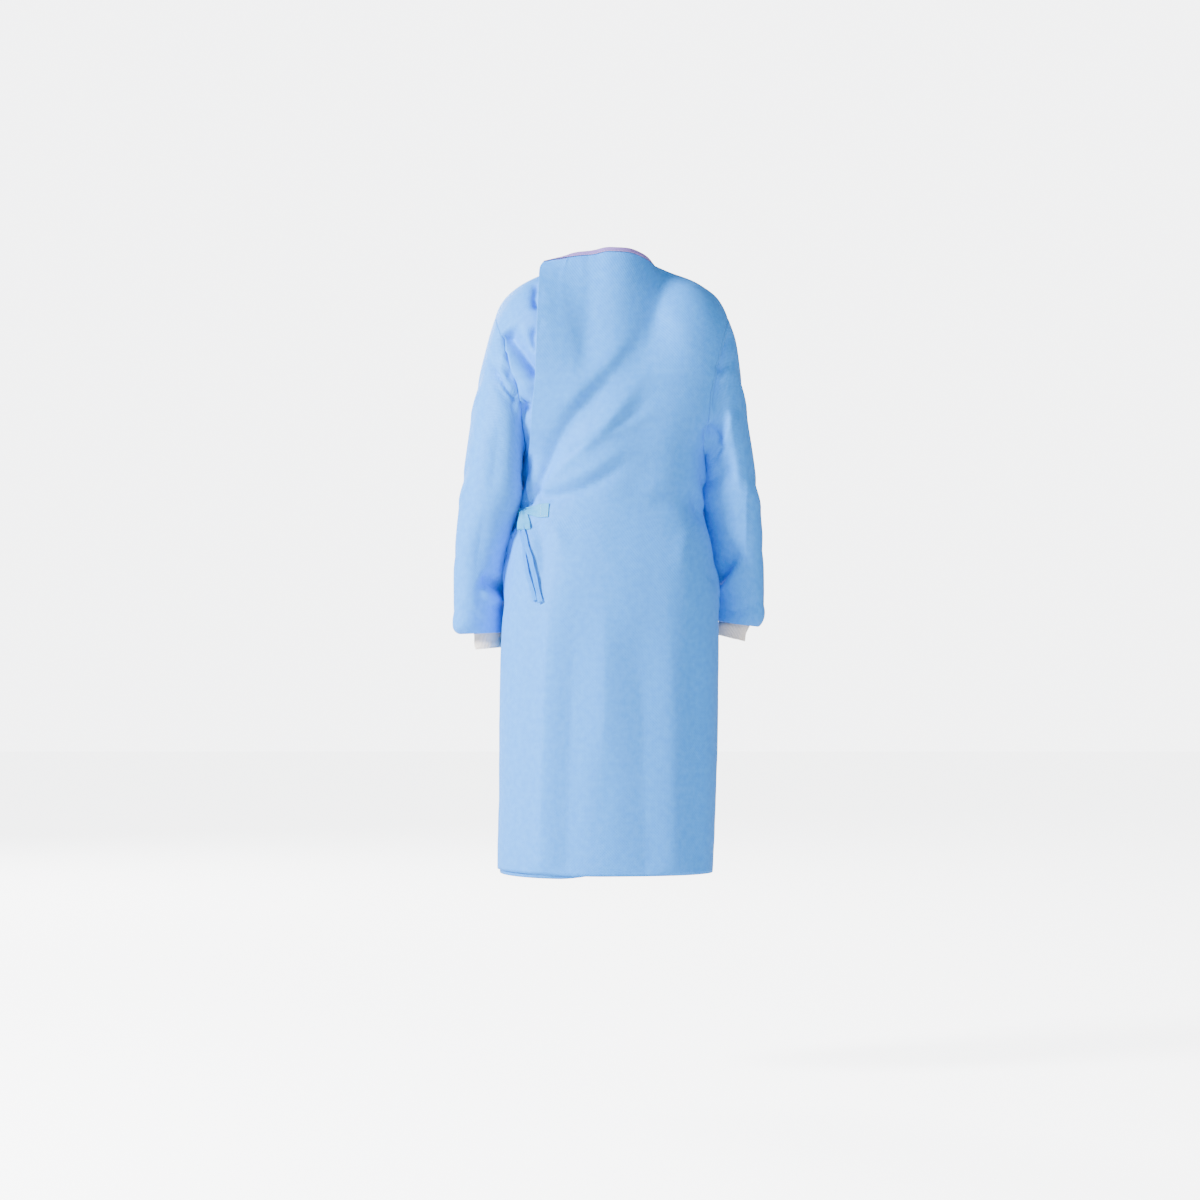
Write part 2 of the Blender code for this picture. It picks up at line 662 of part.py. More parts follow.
def make_side_tie(material):
    """The left tie: fixed beside the left side seam, it comes round over it to the knot."""
    columns = 12
    arounds = np.linspace(*SIDE_TIE_ROUND, columns)
    heights = np.linspace(TIE_Z + TIE_WIDTH / 2, TIE_Z - TIE_WIDTH / 2, 4)
    grid = np.array([[body_point(a, ("level", h), "back") for a in arounds] for h in heights])
    normals = body_normals(grid)
    first, last = SIDE_TIE_LIFT
    lift = first + (last - first) * smoothstep(np.linspace(0, 1, columns))
    grid = grid + normals * lift[None, :, None]
    return wall_mesh("side_tie", grid, normals, False, material, TIE_WALL)


def ribbon(name, middles, facings, widths, thickness, material):
    """A flat strip along a path. facings point out of its wide face."""
    middles = np.array(middles)
    facings = np.array(facings)
    ways = np.gradient(middles, axis=0)
    sections = []
    for middle, facing, way, width in zip(middles, facings, ways, widths):
        across = np.cross(way, facing)
        across *= width / 2 / np.linalg.norm(across)
        out = np.cross(across, way)
        out *= thickness / 2 / np.linalg.norm(out)
        sections.append([
            middle - across - out,
            middle + across - out,
            middle + across + out,
            middle - across + out,
        ])
    return sweep_mesh(name, np.array(sections), material)


def make_tie_ends(material):
    """The two free ends of the ties, creased narrow, hanging from the knot over the hip."""
    for name, shift, width, shorter in TIE_ENDS:
        outs = np.linspace(END_TOP[0], END_LOW[0], 14) + shift
        heights = np.linspace(END_TOP[1], END_LOW[1] + shorter, 14)
        places = [tie_place(out, height, END_LIFT) for out, height in zip(outs, heights)]
        middles, facings = zip(*places)
        ribbon(name, middles, facings, [width] * len(middles), TIE_WALL, material)


def make_loop(material):
    """The bow's one loop: a strip that widens downwards, folds under and comes back up."""
    swing = LOOP_DEPTH / 2
    top, facing = tie_place(*LOOP_TOP, KNOT_LIFT)
    low = tie_place(*LOOP_LOW, KNOT_LIFT)[0]
    apart = facing * (TIE_WALL + 0.0001)
    turns = np.linspace(0.0, math.pi, 9)
    bend = [low + facing * swing * math.cos(t) - np.array([0, 0, swing * math.sin(t)]) for t in turns]
    turned = [facing * math.cos(t) - np.array([0, 0, math.sin(t)]) for t in turns]
    parts = np.array([0.0, 0.35, 0.7])
    near = [top + apart + (bend[0] - top - apart) * part for part in parts]
    far = [top - apart + (bend[-1] - top + apart) * part for part in parts[::-1]]
    spread = list(LOOP_TOP_WIDTH + (LOOP_LOW_WIDTH - LOOP_TOP_WIDTH) * parts)
    widths = spread + [LOOP_LOW_WIDTH] * len(turns) + spread[::-1]
    facings = [facing] * 3 + turned + [-facing] * 3
    return ribbon("tie_loop", near + bend + far, facings, widths, TIE_WALL, material)


def make_knot(material):
    """The knot, a flattened lump of wrapped strip."""
    middle, facing = tie_place(*KNOT_PLACE, KNOT_LIFT)
    across = np.cross(facing, (0.0, 0.0, 1.0))
    across /= np.linalg.norm(across)
    up = np.cross(across, facing)
    rings = 8
    corners = 14
    points = [middle + up * KNOT_SIZE[2] / 2]
    for i in range(1, rings):
        slope = math.pi * i / rings
        for j in range(corners):
            turn = 2 * math.pi * j / corners
            points.append(
                middle
                + across * KNOT_SIZE[0] / 2 * math.sin(slope) * math.cos(turn)
                + facing * KNOT_SIZE[1] / 2 * math.sin(slope) * math.sin(turn)
                + up * KNOT_SIZE[2] / 2 * math.cos(slope)
            )
    points.append(middle - up * KNOT_SIZE[2] / 2)
    faces = []
    for j in range(corners):
        k = (j + 1) % corners
        faces.append((0, 1 + j, 1 + k))
        last = 1 + (rings - 2) * corners
        faces.append((last + j, len(points) - 1, last + k))
        for i in range(rings - 2):
            ring = 1 + i * corners
            faces.append((ring + j, ring + corners + j, ring + corners + k, ring + k))
    return finish_mesh("tie_knot", points, faces, material)


def plain_material(name, colour, roughness):
    made = bpy.data.materials.new(name)
    made.use_nodes = True
    shader = made.node_tree.nodes["Principled BSDF"]
    shader.inputs["Base Color"].default_value = colour
    shader.inputs["Roughness"].default_value = roughness
    shader.inputs["Metallic"].default_value = 0.0
    return made


def shape_panels():
    """Outer faces of the three body panels, folded, layered and drawn back at their seams."""
    rows = body_rows()
    front = front_grid(rows)
    outer = outer_grid(rows)
    inner = inner_grid(rows)
    for grid, free_last in ((front, False), (outer, True), (inner, True)):
        normals = body_normals(grid)
        fade = seam_fade(grid.shape[1], rows, free_last)
        grid += normals * (fold_height(grid, normals) * fade)[..., None]
    outer = lay_over(outer, rows)
    across = np.linspace(0.0, 1.0, inner.shape[1])
    drop_hem(inner, INNER_HEM_DROP * np.sin(np.pi * np.clip(across * 1.15, 0, 1)))
    drop_hem(outer, -OUTER_HEM_RISE * smoothstep((np.linspace(0, 1, outer.shape[1]) - 0.4) / 0.5))
    return rows, front, outer, inner


def main():
    blue = plain_material("sms_nonwoven_blue", SMS_BLUE, 0.75)
    aqua = plain_material("tie_nonwoven_aqua", TIE_AQUA, 0.7)
    lilac = plain_material("binding_lilac", BINDING_LILAC, 0.75)
    white = plain_material("cuff_knit_white", KNIT_WHITE, 0.9)

    rows, front, outer, inner = shape_panels()
    half = CHEST_ROWS + ARMHOLE_ROWS + 1
    left_sleeve = sleeve_grid(LEFT_SLEEVE, 1.0, inner[:half, 0], front[:half, 0])
    right_sleeve = sleeve_grid(RIGHT_SLEEVE, -1.0, outer[:half, 0], front[:half, -1])
    for sleeve in (left_sleeve, right_sleeve):
        normals = sleeve_normals(sleeve)
        fade = smoothstep(np.arange(len(sleeve)) / 2.0)
        sleeve += normals * (fold_height(sleeve, normals) * fade[:, None])[..., None]

    shoulder = SHOULDER_COLUMNS + 1
    normals = {name: body_normals(grid) for name, grid in
               (("front", front), ("outer", outer), ("inner", inner))}
    left_normals = sleeve_normals(left_sleeve)
    right_normals = sleeve_normals(right_sleeve)
    share_normals(normals["front"][:, -1], normals["outer"][:, 0])
    share_normals(normals["front"][:, 0], normals["inner"][:, 0])
    share_normals(normals["front"][0, ::-1][:shoulder], normals["outer"][0, :shoulder])
    share_normals(normals["front"][0, :shoulder], normals["inner"][0, :shoulder])
    sew_sleeve(left_sleeve, left_normals, normals["inner"][:half, 0], normals["front"][:half, 0])
    sew_sleeve(right_sleeve, right_normals, normals["outer"][:half, 0], normals["front"][:half, -1])

    inset_edges(front, True, True, np.r_[0:shoulder, -shoulder:0])
    inset_edges(outer, True, False, np.r_[0:shoulder])
    inset_edges(inner, True, False, np.r_[0:shoulder])
    wall_mesh("front_panel", front, normals["front"], False, blue)
    wall_mesh("outer_back_panel", outer, normals["outer"], False, blue)
    wall_mesh("inner_back_panel", inner, normals["inner"], False, blue)
    wall_mesh("left_sleeve", left_sleeve, left_normals, True, blue)
    wall_mesh("right_sleeve", right_sleeve, right_normals, True, blue)
    make_cuff("left_cuff", left_sleeve, 1.0, white)
    make_cuff("right_cuff", right_sleeve, -1.0, white)
    panels = ((front, normals["front"]), (outer, normals["outer"]), (inner, normals["inner"]))
    make_binding(panels, lilac)
    make_flap_patch(aqua)
    make_side_tie(aqua)
    make_tie_ends(aqua)
    make_loop(aqua)
    make_knot(aqua)


for leftover in list(bpy.data.objects):
    bpy.data.objects.remove(leftover, do_unlink=True)
PARTS = bpy.data.collections.new("surgical_gown")
bpy.context.scene.collection.children.link(PARTS)
main()
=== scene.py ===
# %% [markdown]
# # A surgical gown, tied at the back
#
# This gown is cut from thin spunbond nonwoven, a cloth of melted polypropylene fibres that
# hangs crisp and almost smooth. It is worn closed: the right half of the back wraps over the
# left one and is tied at the left of the waist. It is built here as it hangs when worn, hollow
# and open at the neck, the hem and both cuffs.
#
# The lesson goes from the outside in. First come the imported model, the camera and the light.
# Then the body's surface is worked out from a few tables, folds are laid on it, and
# each cut piece becomes a thin shell of its own. Last come the small things that make cloth
# believable: rib knit, bound edges, welds, and a material for each kind of cloth.
#
# The imported model is loaded first. It fixes the frame: metres, +Z up, the front facing -Y and
# the left sleeve at +X. Its box is kept and its size printed.

# %% Load the imported model
import math

import bpy
import numpy as np
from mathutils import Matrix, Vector, noise


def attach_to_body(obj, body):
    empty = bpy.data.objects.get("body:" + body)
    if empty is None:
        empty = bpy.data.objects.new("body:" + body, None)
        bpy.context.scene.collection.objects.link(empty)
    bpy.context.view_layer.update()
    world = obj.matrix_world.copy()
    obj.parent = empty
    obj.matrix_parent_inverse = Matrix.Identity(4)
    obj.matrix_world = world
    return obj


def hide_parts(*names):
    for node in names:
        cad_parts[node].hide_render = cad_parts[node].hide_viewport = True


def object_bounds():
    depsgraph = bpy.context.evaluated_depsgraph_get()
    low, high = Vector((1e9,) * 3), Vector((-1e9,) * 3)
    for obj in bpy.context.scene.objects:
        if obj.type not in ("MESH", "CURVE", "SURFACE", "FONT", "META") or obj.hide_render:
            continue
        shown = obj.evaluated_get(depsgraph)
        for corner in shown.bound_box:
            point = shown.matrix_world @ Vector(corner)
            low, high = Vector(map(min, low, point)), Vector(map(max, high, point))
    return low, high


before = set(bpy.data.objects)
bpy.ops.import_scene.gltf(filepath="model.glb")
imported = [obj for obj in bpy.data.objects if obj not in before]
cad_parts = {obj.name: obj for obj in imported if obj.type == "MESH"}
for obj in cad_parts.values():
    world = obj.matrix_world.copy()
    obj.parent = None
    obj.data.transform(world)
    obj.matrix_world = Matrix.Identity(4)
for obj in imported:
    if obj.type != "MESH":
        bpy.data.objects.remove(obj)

CAD_LOW, CAD_HIGH = [list(corner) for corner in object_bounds()]
SCENE = bpy.context.scene
CAD_SIZE = [round(high - low, 3) for low, high in zip(CAD_LOW, CAD_HIGH)]
print("packed model", len(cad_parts), "pieces,", CAD_SIZE, "m")

# %% [markdown]
# ## Camera, floor and light
#
# The photograph is taken from behind, level, with a long lens at the height of its middle.
# A long lens keeps the near and far side of the gown almost the same size. One metre of the
# gown fills a known part of the frame, so the focal length follows from the distance and the
# width that the frame covers.

# %% Camera
CAMERA_DISTANCE = 6.5
FRAME_WIDTH = 2.148
AIM = (0.0197, -0.5907)
SENSOR = 36.0

camera_data = bpy.data.cameras.new("camera")
camera_data.sensor_width = SENSOR
camera_data.lens = SENSOR * CAMERA_DISTANCE / FRAME_WIDTH
camera = bpy.data.objects.new("camera", camera_data)
SCENE.collection.objects.link(camera)
camera.location = (AIM[0], CAMERA_DISTANCE, AIM[1])
camera.rotation_euler = (math.pi / 2, 0.0, math.pi)
SCENE.camera = camera
print("lens", round(camera_data.lens, 1), "mm")

# %% [markdown]
# Studio light for a garment is broad and soft. A large lamp stands high to the left of the
# picture, a weaker one to the right keeps the shaded side readable, and a third lights the
# front for whoever walks round. The floor is pale and plain, 0.37 m below the hem. A white world
# lights the cloth gently. For the camera alone, that world and the floor shine as bright as the
# white paper of a studio: a Light Path node tells the camera's rays from all others.

# %% Light and floor
FLOOR_Z = -1.446
FLOOR_REACH = 14.0
FLOOR_GLOW = 5.0
SURROUND = 0.42
BACKGROUND = 6.0
LAMP_COLUMNS = ("name", "place", "aimed at", "size", "power")
LAMPS = (
    ("key", (3.6, 1.9, 1.4), (0.0, 0.0, -0.25), 1.2, 715.0),
    ("fill", (-2.0, 5.0, 0.9), (0.0, 0.0, -0.5), 2.5, 165.0),
    ("front", (2.5, -5.0, 1.8), (0.0, 0.0, -0.5), 2.0, 500.0),
)


def colour(code):
    """A colour written as sRGB hex, turned into the linear values that a shader takes."""
    parts = [int(code[i:i + 2], 16) / 255 for i in (1, 3, 5)]
    linear = [p / 12.92 if p <= 0.04045 else ((p + 0.055) / 1.055) ** 2.4 for p in parts]
    return (*linear, 1.0)


def add(tree, kind, settings=None, inputs=None):
    """Adds a node. settings are its own, and inputs are values or sockets, by name or number."""
    node = tree.nodes.new(kind)
    for name, value in (settings or {}).items():
        setattr(node, name, value)
    for name, value in (inputs or {}).items():
        if isinstance(value, bpy.types.NodeSocket):
            tree.links.new(value, node.inputs[name])
        else:
            node.inputs[name].default_value = value
    return node


def new_material(name, finish):
    """A new material, its tree and its shader, with the shader's constant values set."""
    material = bpy.data.materials.new(name)
    material.use_nodes = True
    shader = material.node_tree.nodes["Principled BSDF"]
    for label, value in finish.items():
        shader.inputs[label].default_value = value
    return material, material.node_tree, shader


def place_mesh(name, points, lines=(), faces=(), material=None):
    """An object at the origin with a mesh of these points."""
    mesh = bpy.data.meshes.new(name)
    mesh.from_pydata([tuple(point) for point in points], lines, faces)
    if material:
        mesh.materials.append(material)
    made = bpy.data.objects.new(name, mesh)
    SCENE.collection.objects.link(made)
    return made


for name, place, aim, size, power in LAMPS:
    lamp_data = bpy.data.lights.new(name, "AREA")
    lamp_data.shape = "DISK"
    lamp_data.size = size
    lamp_data.energy = power
    lamp = bpy.data.objects.new(name, lamp_data)
    lamp.location = place
    lamp.rotation_euler = (Vector(aim) - Vector(place)).to_track_quat("-Z", "Y").to_euler()
    SCENE.collection.objects.link(lamp)

PAPER = colour("#F7F8FA")
world = bpy.data.worlds.new("studio")
world.use_nodes = True
sky = world.node_tree
seen = add(sky, "ShaderNodeLightPath").outputs["Is Camera Ray"]
strength = add(sky, "ShaderNodeMapRange", inputs={"Value": seen, "To Min": SURROUND, "To Max": BACKGROUND})
sky.nodes["Background"].inputs["Color"].default_value = PAPER
sky.links.new(strength.outputs[0], sky.nodes["Background"].inputs["Strength"])
SCENE.world = world

painted, floor_tree, floor_shader = new_material("painted_floor", {
    "Base Color": colour("#F2F2F1"), "Roughness": 0.9, "Emission Color": PAPER})
paper = add(floor_tree, "ShaderNodeLightPath").outputs["Is Camera Ray"]
glow = add(floor_tree, "ShaderNodeMath", {"operation": "MULTIPLY"}, {0: paper, 1: FLOOR_GLOW})
floor_tree.links.new(glow.outputs[0], floor_shader.inputs["Emission Strength"])
corners = [(FLOOR_REACH * x, FLOOR_REACH * y, FLOOR_Z) for x, y in ((-1, -1), (1, -1), (1, 1), (-1, 1))]
floor = place_mesh("floor", corners, faces=[(0, 1, 2, 3)], material=painted)
print("lamps", len(LAMPS))

# %% [markdown]
# ## The body's surface
#
# A gown has no shape of its own: it takes that of the shoulders, the waist and the hips, with
# some ease. So the surface is described once, for the whole body, and the cut pieces are read
# from it. Below the armholes it is a stack of level sections, each a rounded oblong given by
# its half widths and depths. Above, it runs up to the neckline and the shoulder seam. A smooth
# curve through each column of the table fills the heights in between.

# %% Tables of the body
SIDE_Y = -0.004
NECK_SIDE = (0.076, 0.011)
NAPE = (0.062, 0.029)
THROAT = (-0.085, -0.063)
CHEST_Z = -0.200
UNDERARM_Z = -0.330
HEM_Z = -1.076
ARMHOLE_BACK_Y = 0.072
ARMHOLE_FRONT_Y = -0.078
NECK_FRACTION = 0.36
NECK_FLARE = 0.030
NECK_FLARE_REACH = 0.34

SHOULDER_LINE = (
    (0.076, 0.011),
    (0.104, -0.002),
    (0.136, -0.014),
    (0.166, -0.030),
    (0.190, -0.050),
    (0.202, -0.069),
    (0.209, -0.086),
)
BODY_COLUMNS = ("height", "left", "right", "front", "back", "squareness")
BODY_SECTIONS = (
    (-0.200, 0.206, 0.222, -0.122, 0.108, 2.5),
    (-0.265, 0.183, 0.200, -0.124, 0.106, 2.45),
    (-0.330, 0.153, 0.165, -0.124, 0.101, 2.4),
    (-0.375, 0.155, 0.163, -0.121, 0.094, 2.35),
    (-0.410, 0.156, 0.157, -0.119, 0.091, 2.3),
    (-0.450, 0.163, 0.168, -0.122, 0.098, 2.3),
    (-0.490, 0.173, 0.179, -0.126, 0.109, 2.3),
    (-0.535, 0.1785, 0.185, -0.130, 0.120, 2.3),
    (-0.600, 0.1875, 0.190, -0.135, 0.129, 2.3),
    (-0.725, 0.1945, 0.1915, -0.139, 0.133, 2.3),
    (-0.900, 0.1965, 0.190, -0.141, 0.132, 2.3),
    (-1.076, 0.200, 0.184, -0.143, 0.130, 2.3),
)


def smoothstep(value):
    """A soft step from 0 to 1."""
    held = np.clip(value, 0.0, 1.0)
    return held * held * (3.0 - 2.0 * held)


def unit(vectors):
    """The same directions, each of length 1."""
    return vectors / np.maximum(np.linalg.norm(vectors, axis=-1, keepdims=True), 1e-12)


def distances(points):
    """How far along a path each of its points lies."""
    return np.concatenate([[0.0], np.cumsum(np.linalg.norm(np.diff(points, axis=0), axis=-1))])


def read_path(at, along, values):
    """A list of vectors along a path, read at other distances."""
    return np.stack([np.interp(at, along, column) for column in values.T], axis=-1)


def through(xs, ys, at):
    """A smooth curve through the points, read at one place. The xs may rise or fall."""
    xs = np.asarray(xs, float)
    ys = np.asarray(ys, float)
    if xs[0] > xs[-1]:
        xs = xs[::-1]
        ys = ys[::-1]
    slopes = np.gradient(ys, xs)
    at = float(np.clip(at, xs[0], xs[-1]))
    k = int(np.clip(np.searchsorted(xs, at) - 1, 0, len(xs) - 2))
    step = xs[k + 1] - xs[k]
    f = (at - xs[k]) / step
    return (
        ys[k] * (1 + 2 * f) * (1 - f) ** 2
        + slopes[k] * step * f * (1 - f) ** 2
        + ys[k + 1] * f * f * (3 - 2 * f)
        - slopes[k + 1] * step * f * f * (1 - f)
    )


def section(name, height):
    """One column of the body's table, read at a height."""
    heights = [row[0] for row in BODY_SECTIONS]
    values = [row[BODY_COLUMNS.index(name)] for row in BODY_SECTIONS]
    return through(heights, values, height)


# %% [markdown]
# A row of cloth is then a list of places along a section, from the middle of the back or front
# out to the side seam. Between the chest and the underarm the section is cut short by the
# armhole, whose edge swings forwards and backwards like half an oval. Above the chest the rows
# bend over to the neckline and the shoulder.

# %% Rows of the body
def armhole_y(height, face):
    """How far back, or forward, the armhole's edge lies at a height."""
    drop = min((CHEST_Z - height) / (CHEST_Z - UNDERARM_Z), 1.0)
    reach = ARMHOLE_BACK_Y if face == "back" else ARMHOLE_FRONT_Y
    return SIDE_Y + (reach - SIDE_Y) * math.sqrt(max(1.0 - drop * drop, 0.0))


def level_points(parts, height, face, side):
    """Points of a level section: 0 is its middle, 1 the side seam or the armhole's edge."""
    half = section("left" if side > 0 else "right", height)
    middle_y = section(face, height)
    power = 2.0 / section("squareness", height)
    angles = np.linspace(0.0, math.pi / 2, 240)
    xs = half * np.sin(angles) ** power
    ys = SIDE_Y + (middle_y - SIDE_Y) * np.clip(np.cos(angles), 0.0, 1.0) ** power
    along = distances(np.stack([xs, ys], axis=-1))
    end = along[-1]
    if height > UNDERARM_Z:
        end = np.interp(abs(armhole_y(height, face)), abs(ys[::-1]), along[::-1])
    places = parts * end
    heights = np.full(len(parts), height)
    return np.stack([side * np.interp(places, along, xs), np.interp(places, along, ys), heights], axis=-1)


def top_points(parts, face, side):
    """Points of the upper edge: the neckline, then the shoulder seam out to its tip."""
    middle_y, middle_z = NAPE if face == "back" else THROAT
    turn = math.pi / 2 * np.clip(parts / NECK_FRACTION, 0.0, 1.0)
    inward = np.clip(np.cos(turn), 0.0, 1.0)
    lift = inward ** (2.0 if face == "back" else 1.4)
    neck_y = SIDE_Y + (middle_y - SIDE_Y) * inward
    neck_z = NECK_SIDE[1] + (middle_z - NECK_SIDE[1]) * lift
    neck = np.stack([side * NECK_SIDE[0] * np.sin(turn), neck_y, neck_z], axis=-1)
    line = np.array(SHOULDER_LINE)
    along = distances(line)
    places = along[-1] * np.clip((parts - NECK_FRACTION) / (1.0 - NECK_FRACTION), 0.0, 1.0)
    outs = [through(along, line[:, 0], place) for place in places]
    ups = [through(along, line[:, 1], place) for place in places]
    shoulder = np.stack([side * np.array(outs), np.full(len(parts), SIDE_Y), np.array(ups)], axis=-1)
    return np.where(parts[:, None] <= NECK_FRACTION, neck, shoulder)


def side_points(parts, row, face, side):
    """Points of one side of one face of a row."""
    kind, value = row
    if kind == "level":
        return level_points(parts, value, face, side)
    above = top_points(parts, face, side)
    below = level_points(parts, CHEST_Z, face, side)
    round_off = smoothstep((parts - 0.1) / 0.6)
    turn = math.pi / 2 * value
    outward = round_off * math.sin(turn) + (1 - round_off) * value
    downward = round_off * (1 - math.cos(turn)) + (1 - round_off) * value
    share = np.stack([downward, outward, downward], axis=-1)
    near_neck = smoothstep(1.0 - abs(parts - NECK_FRACTION) / NECK_FLARE_REACH)
    points = above + (below - above) * share
    points[:, 0] += side * NECK_FLARE * near_neck * 4.0 * value * (1.0 - value) ** 2
    return points


def body_row(arounds, row, face="back"):
    """Points of a row. -1 is the right side, 0 the middle, 1 the left side, and from 1 on it
    runs round the left side to the front."""
    arounds = np.asarray(arounds, float)
    points = np.empty((len(arounds), 3))
    groups = (
        (arounds < 0, -arounds, face, -1.0),
        ((arounds >= 0) & (arounds <= 1), arounds, face, 1.0),
        (arounds > 1, 2.0 - arounds, "front", 1.0),
    )
    for chosen, parts, seen, side in groups:
        if chosen.any():
            points[chosen] = side_points(parts[chosen], row, seen, side)
    return points


TOP_ROWS = 48
ARMHOLE_ROWS = 24
LOWER_STEP = 0.0060
lower_count = round((UNDERARM_Z - HEM_Z) / LOWER_STEP)
ROWS = [("top", part) for part in np.linspace(0.0, 1.0, TOP_ROWS + 1)]
for swing in np.linspace(0.0, math.pi / 2, ARMHOLE_ROWS + 1)[1:]:
    ROWS.append(("level", CHEST_Z + (UNDERARM_Z - CHEST_Z) * math.sin(swing)))
ROWS += [("level", height) for height in np.linspace(UNDERARM_Z, HEM_Z, lower_count + 1)[1:]]
print("rows", len(ROWS))

# %% [markdown]
# ## The cut pieces
#
# Five large pieces make the gown: a front, an outer and an inner back, and two sleeves. The
# outer back's free edge runs down from beside the neck to the tie. Below the tie the flap falls
# on round the left hip, so there its edge is given by how far round the body it lies.
#
# Between its corner and the tie nothing holds that edge, so the panel is drawn straight there
# and stands off the arm. Cloth also bridges the sharp turns that a neckline has at its ends, so
# the upper rows of all three pieces are evened out sideways.

# %% Edges of the back pieces
LAYER = 0.0045
NECK_LAYER = 0.0075
OUTER_EDGE_OUT = (
    (0.014, 0.120),
    (-0.020, 0.1255),
    (-0.090, 0.129),
    (-0.200, 0.134),
    (-0.250, 0.139),
    (-0.304, 0.142),
    (-0.376, 0.1465),
    (-0.410, 0.1450),
    (-0.444, 0.1450),
)
OUTER_EDGE_ROUND = ((-0.466, 0.91), (-0.495, 1.04), (-0.540, 1.11), (-0.620, 1.15), (-1.076, 1.17))
OUTER_TOP = ((0.000, 0.029, 0.062), (0.055, 0.0223, 0.057), (0.120, 0.0103, 0.038))
INNER_EDGE_OUT = 0.028
SHOULDER_COLUMNS = 36


def top_part(row):
    """1 on the upper edge of a piece, 0 at the chest line and below."""
    return 1.0 - row[1] if row[0] == "top" else 0.0


def around_at(out, row):
    """Where a row of the left back lies this far out from the middle."""
    arounds = np.linspace(0.0, 1.0, 160)
    return float(np.interp(out, body_row(arounds, row)[:, 0], arounds))


def outer_edge(row):
    """How far round the outer back's free edge lies in a row."""
    height = row[1]
    if row[0] == "top":
        height = CHEST_Z + (OUTER_EDGE_OUT[0][0] - CHEST_Z) * top_part(row) ** 1.6
    if height >= OUTER_EDGE_OUT[-1][0]:
        heights, outs = zip(*OUTER_EDGE_OUT)
        return around_at(through(heights, outs, height), row)
    heights, rounds = zip(*OUTER_EDGE_ROUND)
    last_height, last_out = OUTER_EDGE_OUT[-1]
    start = around_at(last_out, ("level", last_height))
    return through((last_height, *heights), (start, *rounds), height)


shoulder = np.linspace(1.0, NECK_FRACTION, SHOULDER_COLUMNS + 1)
neck = np.linspace(NECK_FRACTION, -NECK_FRACTION, 97)[1:-1]
front_arounds = np.concatenate([shoulder, neck, -shoulder[::-1]])
front = np.array([body_row(front_arounds, row, "front") for row in ROWS])
outer = []
inner = []
for row in ROWS:
    rest = np.linspace(-NECK_FRACTION, outer_edge(row), 159)[1:]
    outer.append(body_row(np.concatenate([-shoulder, rest]), row))
    rest = np.linspace(NECK_FRACTION, around_at(INNER_EDGE_OUT, row), 51)[1:]
    inner.append(body_row(np.concatenate([shoulder, rest]), row))
outer = np.array(outer)
inner = np.array(inner)

EDGE_STAND = 0.016
FLAT_FROM = 0.040
FLAT_LOW = -0.390
FLAT_RISE = 0.110
FLAT_BULGE = 0.0020
SOFTEN_PAST = 14
SOFTEN_FADE = 20


def stand_off(grid):
    """Draws the outer back straight behind the left shoulder, its free edge off the arm."""
    for row in grid:
        amount = float(smoothstep((row[-1, 2] - FLAT_LOW) / FLAT_RISE))
        start = int(np.argmax(row[:, 0] > FLAT_FROM))
        out = (row[start:, 0] - row[start, 0]) / (row[-1, 0] - row[start, 0])
        straight = row[start, 1] + (row[-1, 1] + EDGE_STAND - row[start, 1]) * out
        eased = smoothstep(out / 0.25)
        row[start:, 1] += (straight + FLAT_BULGE * np.sin(math.pi * out) - row[start:, 1]) * amount * eased
    return grid


def soften(grid, times=60, rows_in=10):
    """Evens out the upper rows sideways, so that no ridge runs down from the neck's corners."""
    order = np.arange(len(grid))
    amount = smoothstep(order / rows_in) * smoothstep((TOP_ROWS + SOFTEN_PAST - order) / SOFTEN_FADE)
    for _ in range(times):
        even = (grid[:, :-2] + 2 * grid[:, 1:-1] + grid[:, 2:]) / 4
        grid[:, 1:-1] += (even - grid[:, 1:-1]) * amount[:, None, None]


outer = stand_off(outer)
for grid in (front, outer, inner):
    soften(grid)
print("front", front.shape, "outer back", outer.shape, "inner back", inner.shape)

# %% [markdown]
# A sleeve is a tube that starts exactly on the armhole's edge and runs down beside the body.
# Each row of its table gives the point farthest out, the point next to the body and half the
# depth, so that a ring is an oval between them. The last rings turn in under the sleeve, where
# the full cloth is gathered on the narrow cuff.

# %% Sleeves
SLEEVE_COLUMNS = ("outer x", "outer y", "outer z", "inner x", "inner y", "inner z", "half depth")
LEFT_SLEEVE = (
    (0.209, -0.004, -0.086, 0.152, -0.004, -0.330, 0.075),
    (0.221, 0.000, -0.128, 0.1560, 0.004, -0.335, 0.077),
    (0.236, 0.003, -0.190, 0.1575, 0.014, -0.346, 0.075),
    (0.250, 0.004, -0.262, 0.1580, 0.022, -0.362, 0.070),
    (0.261, 0.004, -0.336, 0.1580, 0.026, -0.386, 0.066),
    (0.270, 0.002, -0.405, 0.1620, 0.022, -0.420, 0.062),
    (0.277, -0.004, -0.462, 0.1745, -0.002, -0.464, 0.060),
    (0.2825, -0.012, -0.525, 0.1870, -0.030, -0.522, 0.058),
    (0.283, -0.020, -0.585, 0.1885, -0.050, -0.580, 0.056),
    (0.2850, -0.024, -0.629, 0.1880, -0.060, -0.617, 0.054),
    (0.2825, -0.027, -0.6450, 0.1885, -0.064, -0.637, 0.049),
    (0.2720, -0.031, -0.6525, 0.1895, -0.061, -0.6490, 0.041),
    (0.257, -0.036, -0.6470, 0.1935, -0.058, -0.6430, 0.033),
    (0.2505, -0.038, -0.6360, 0.1985, -0.056, -0.6320, 0.0285),
)
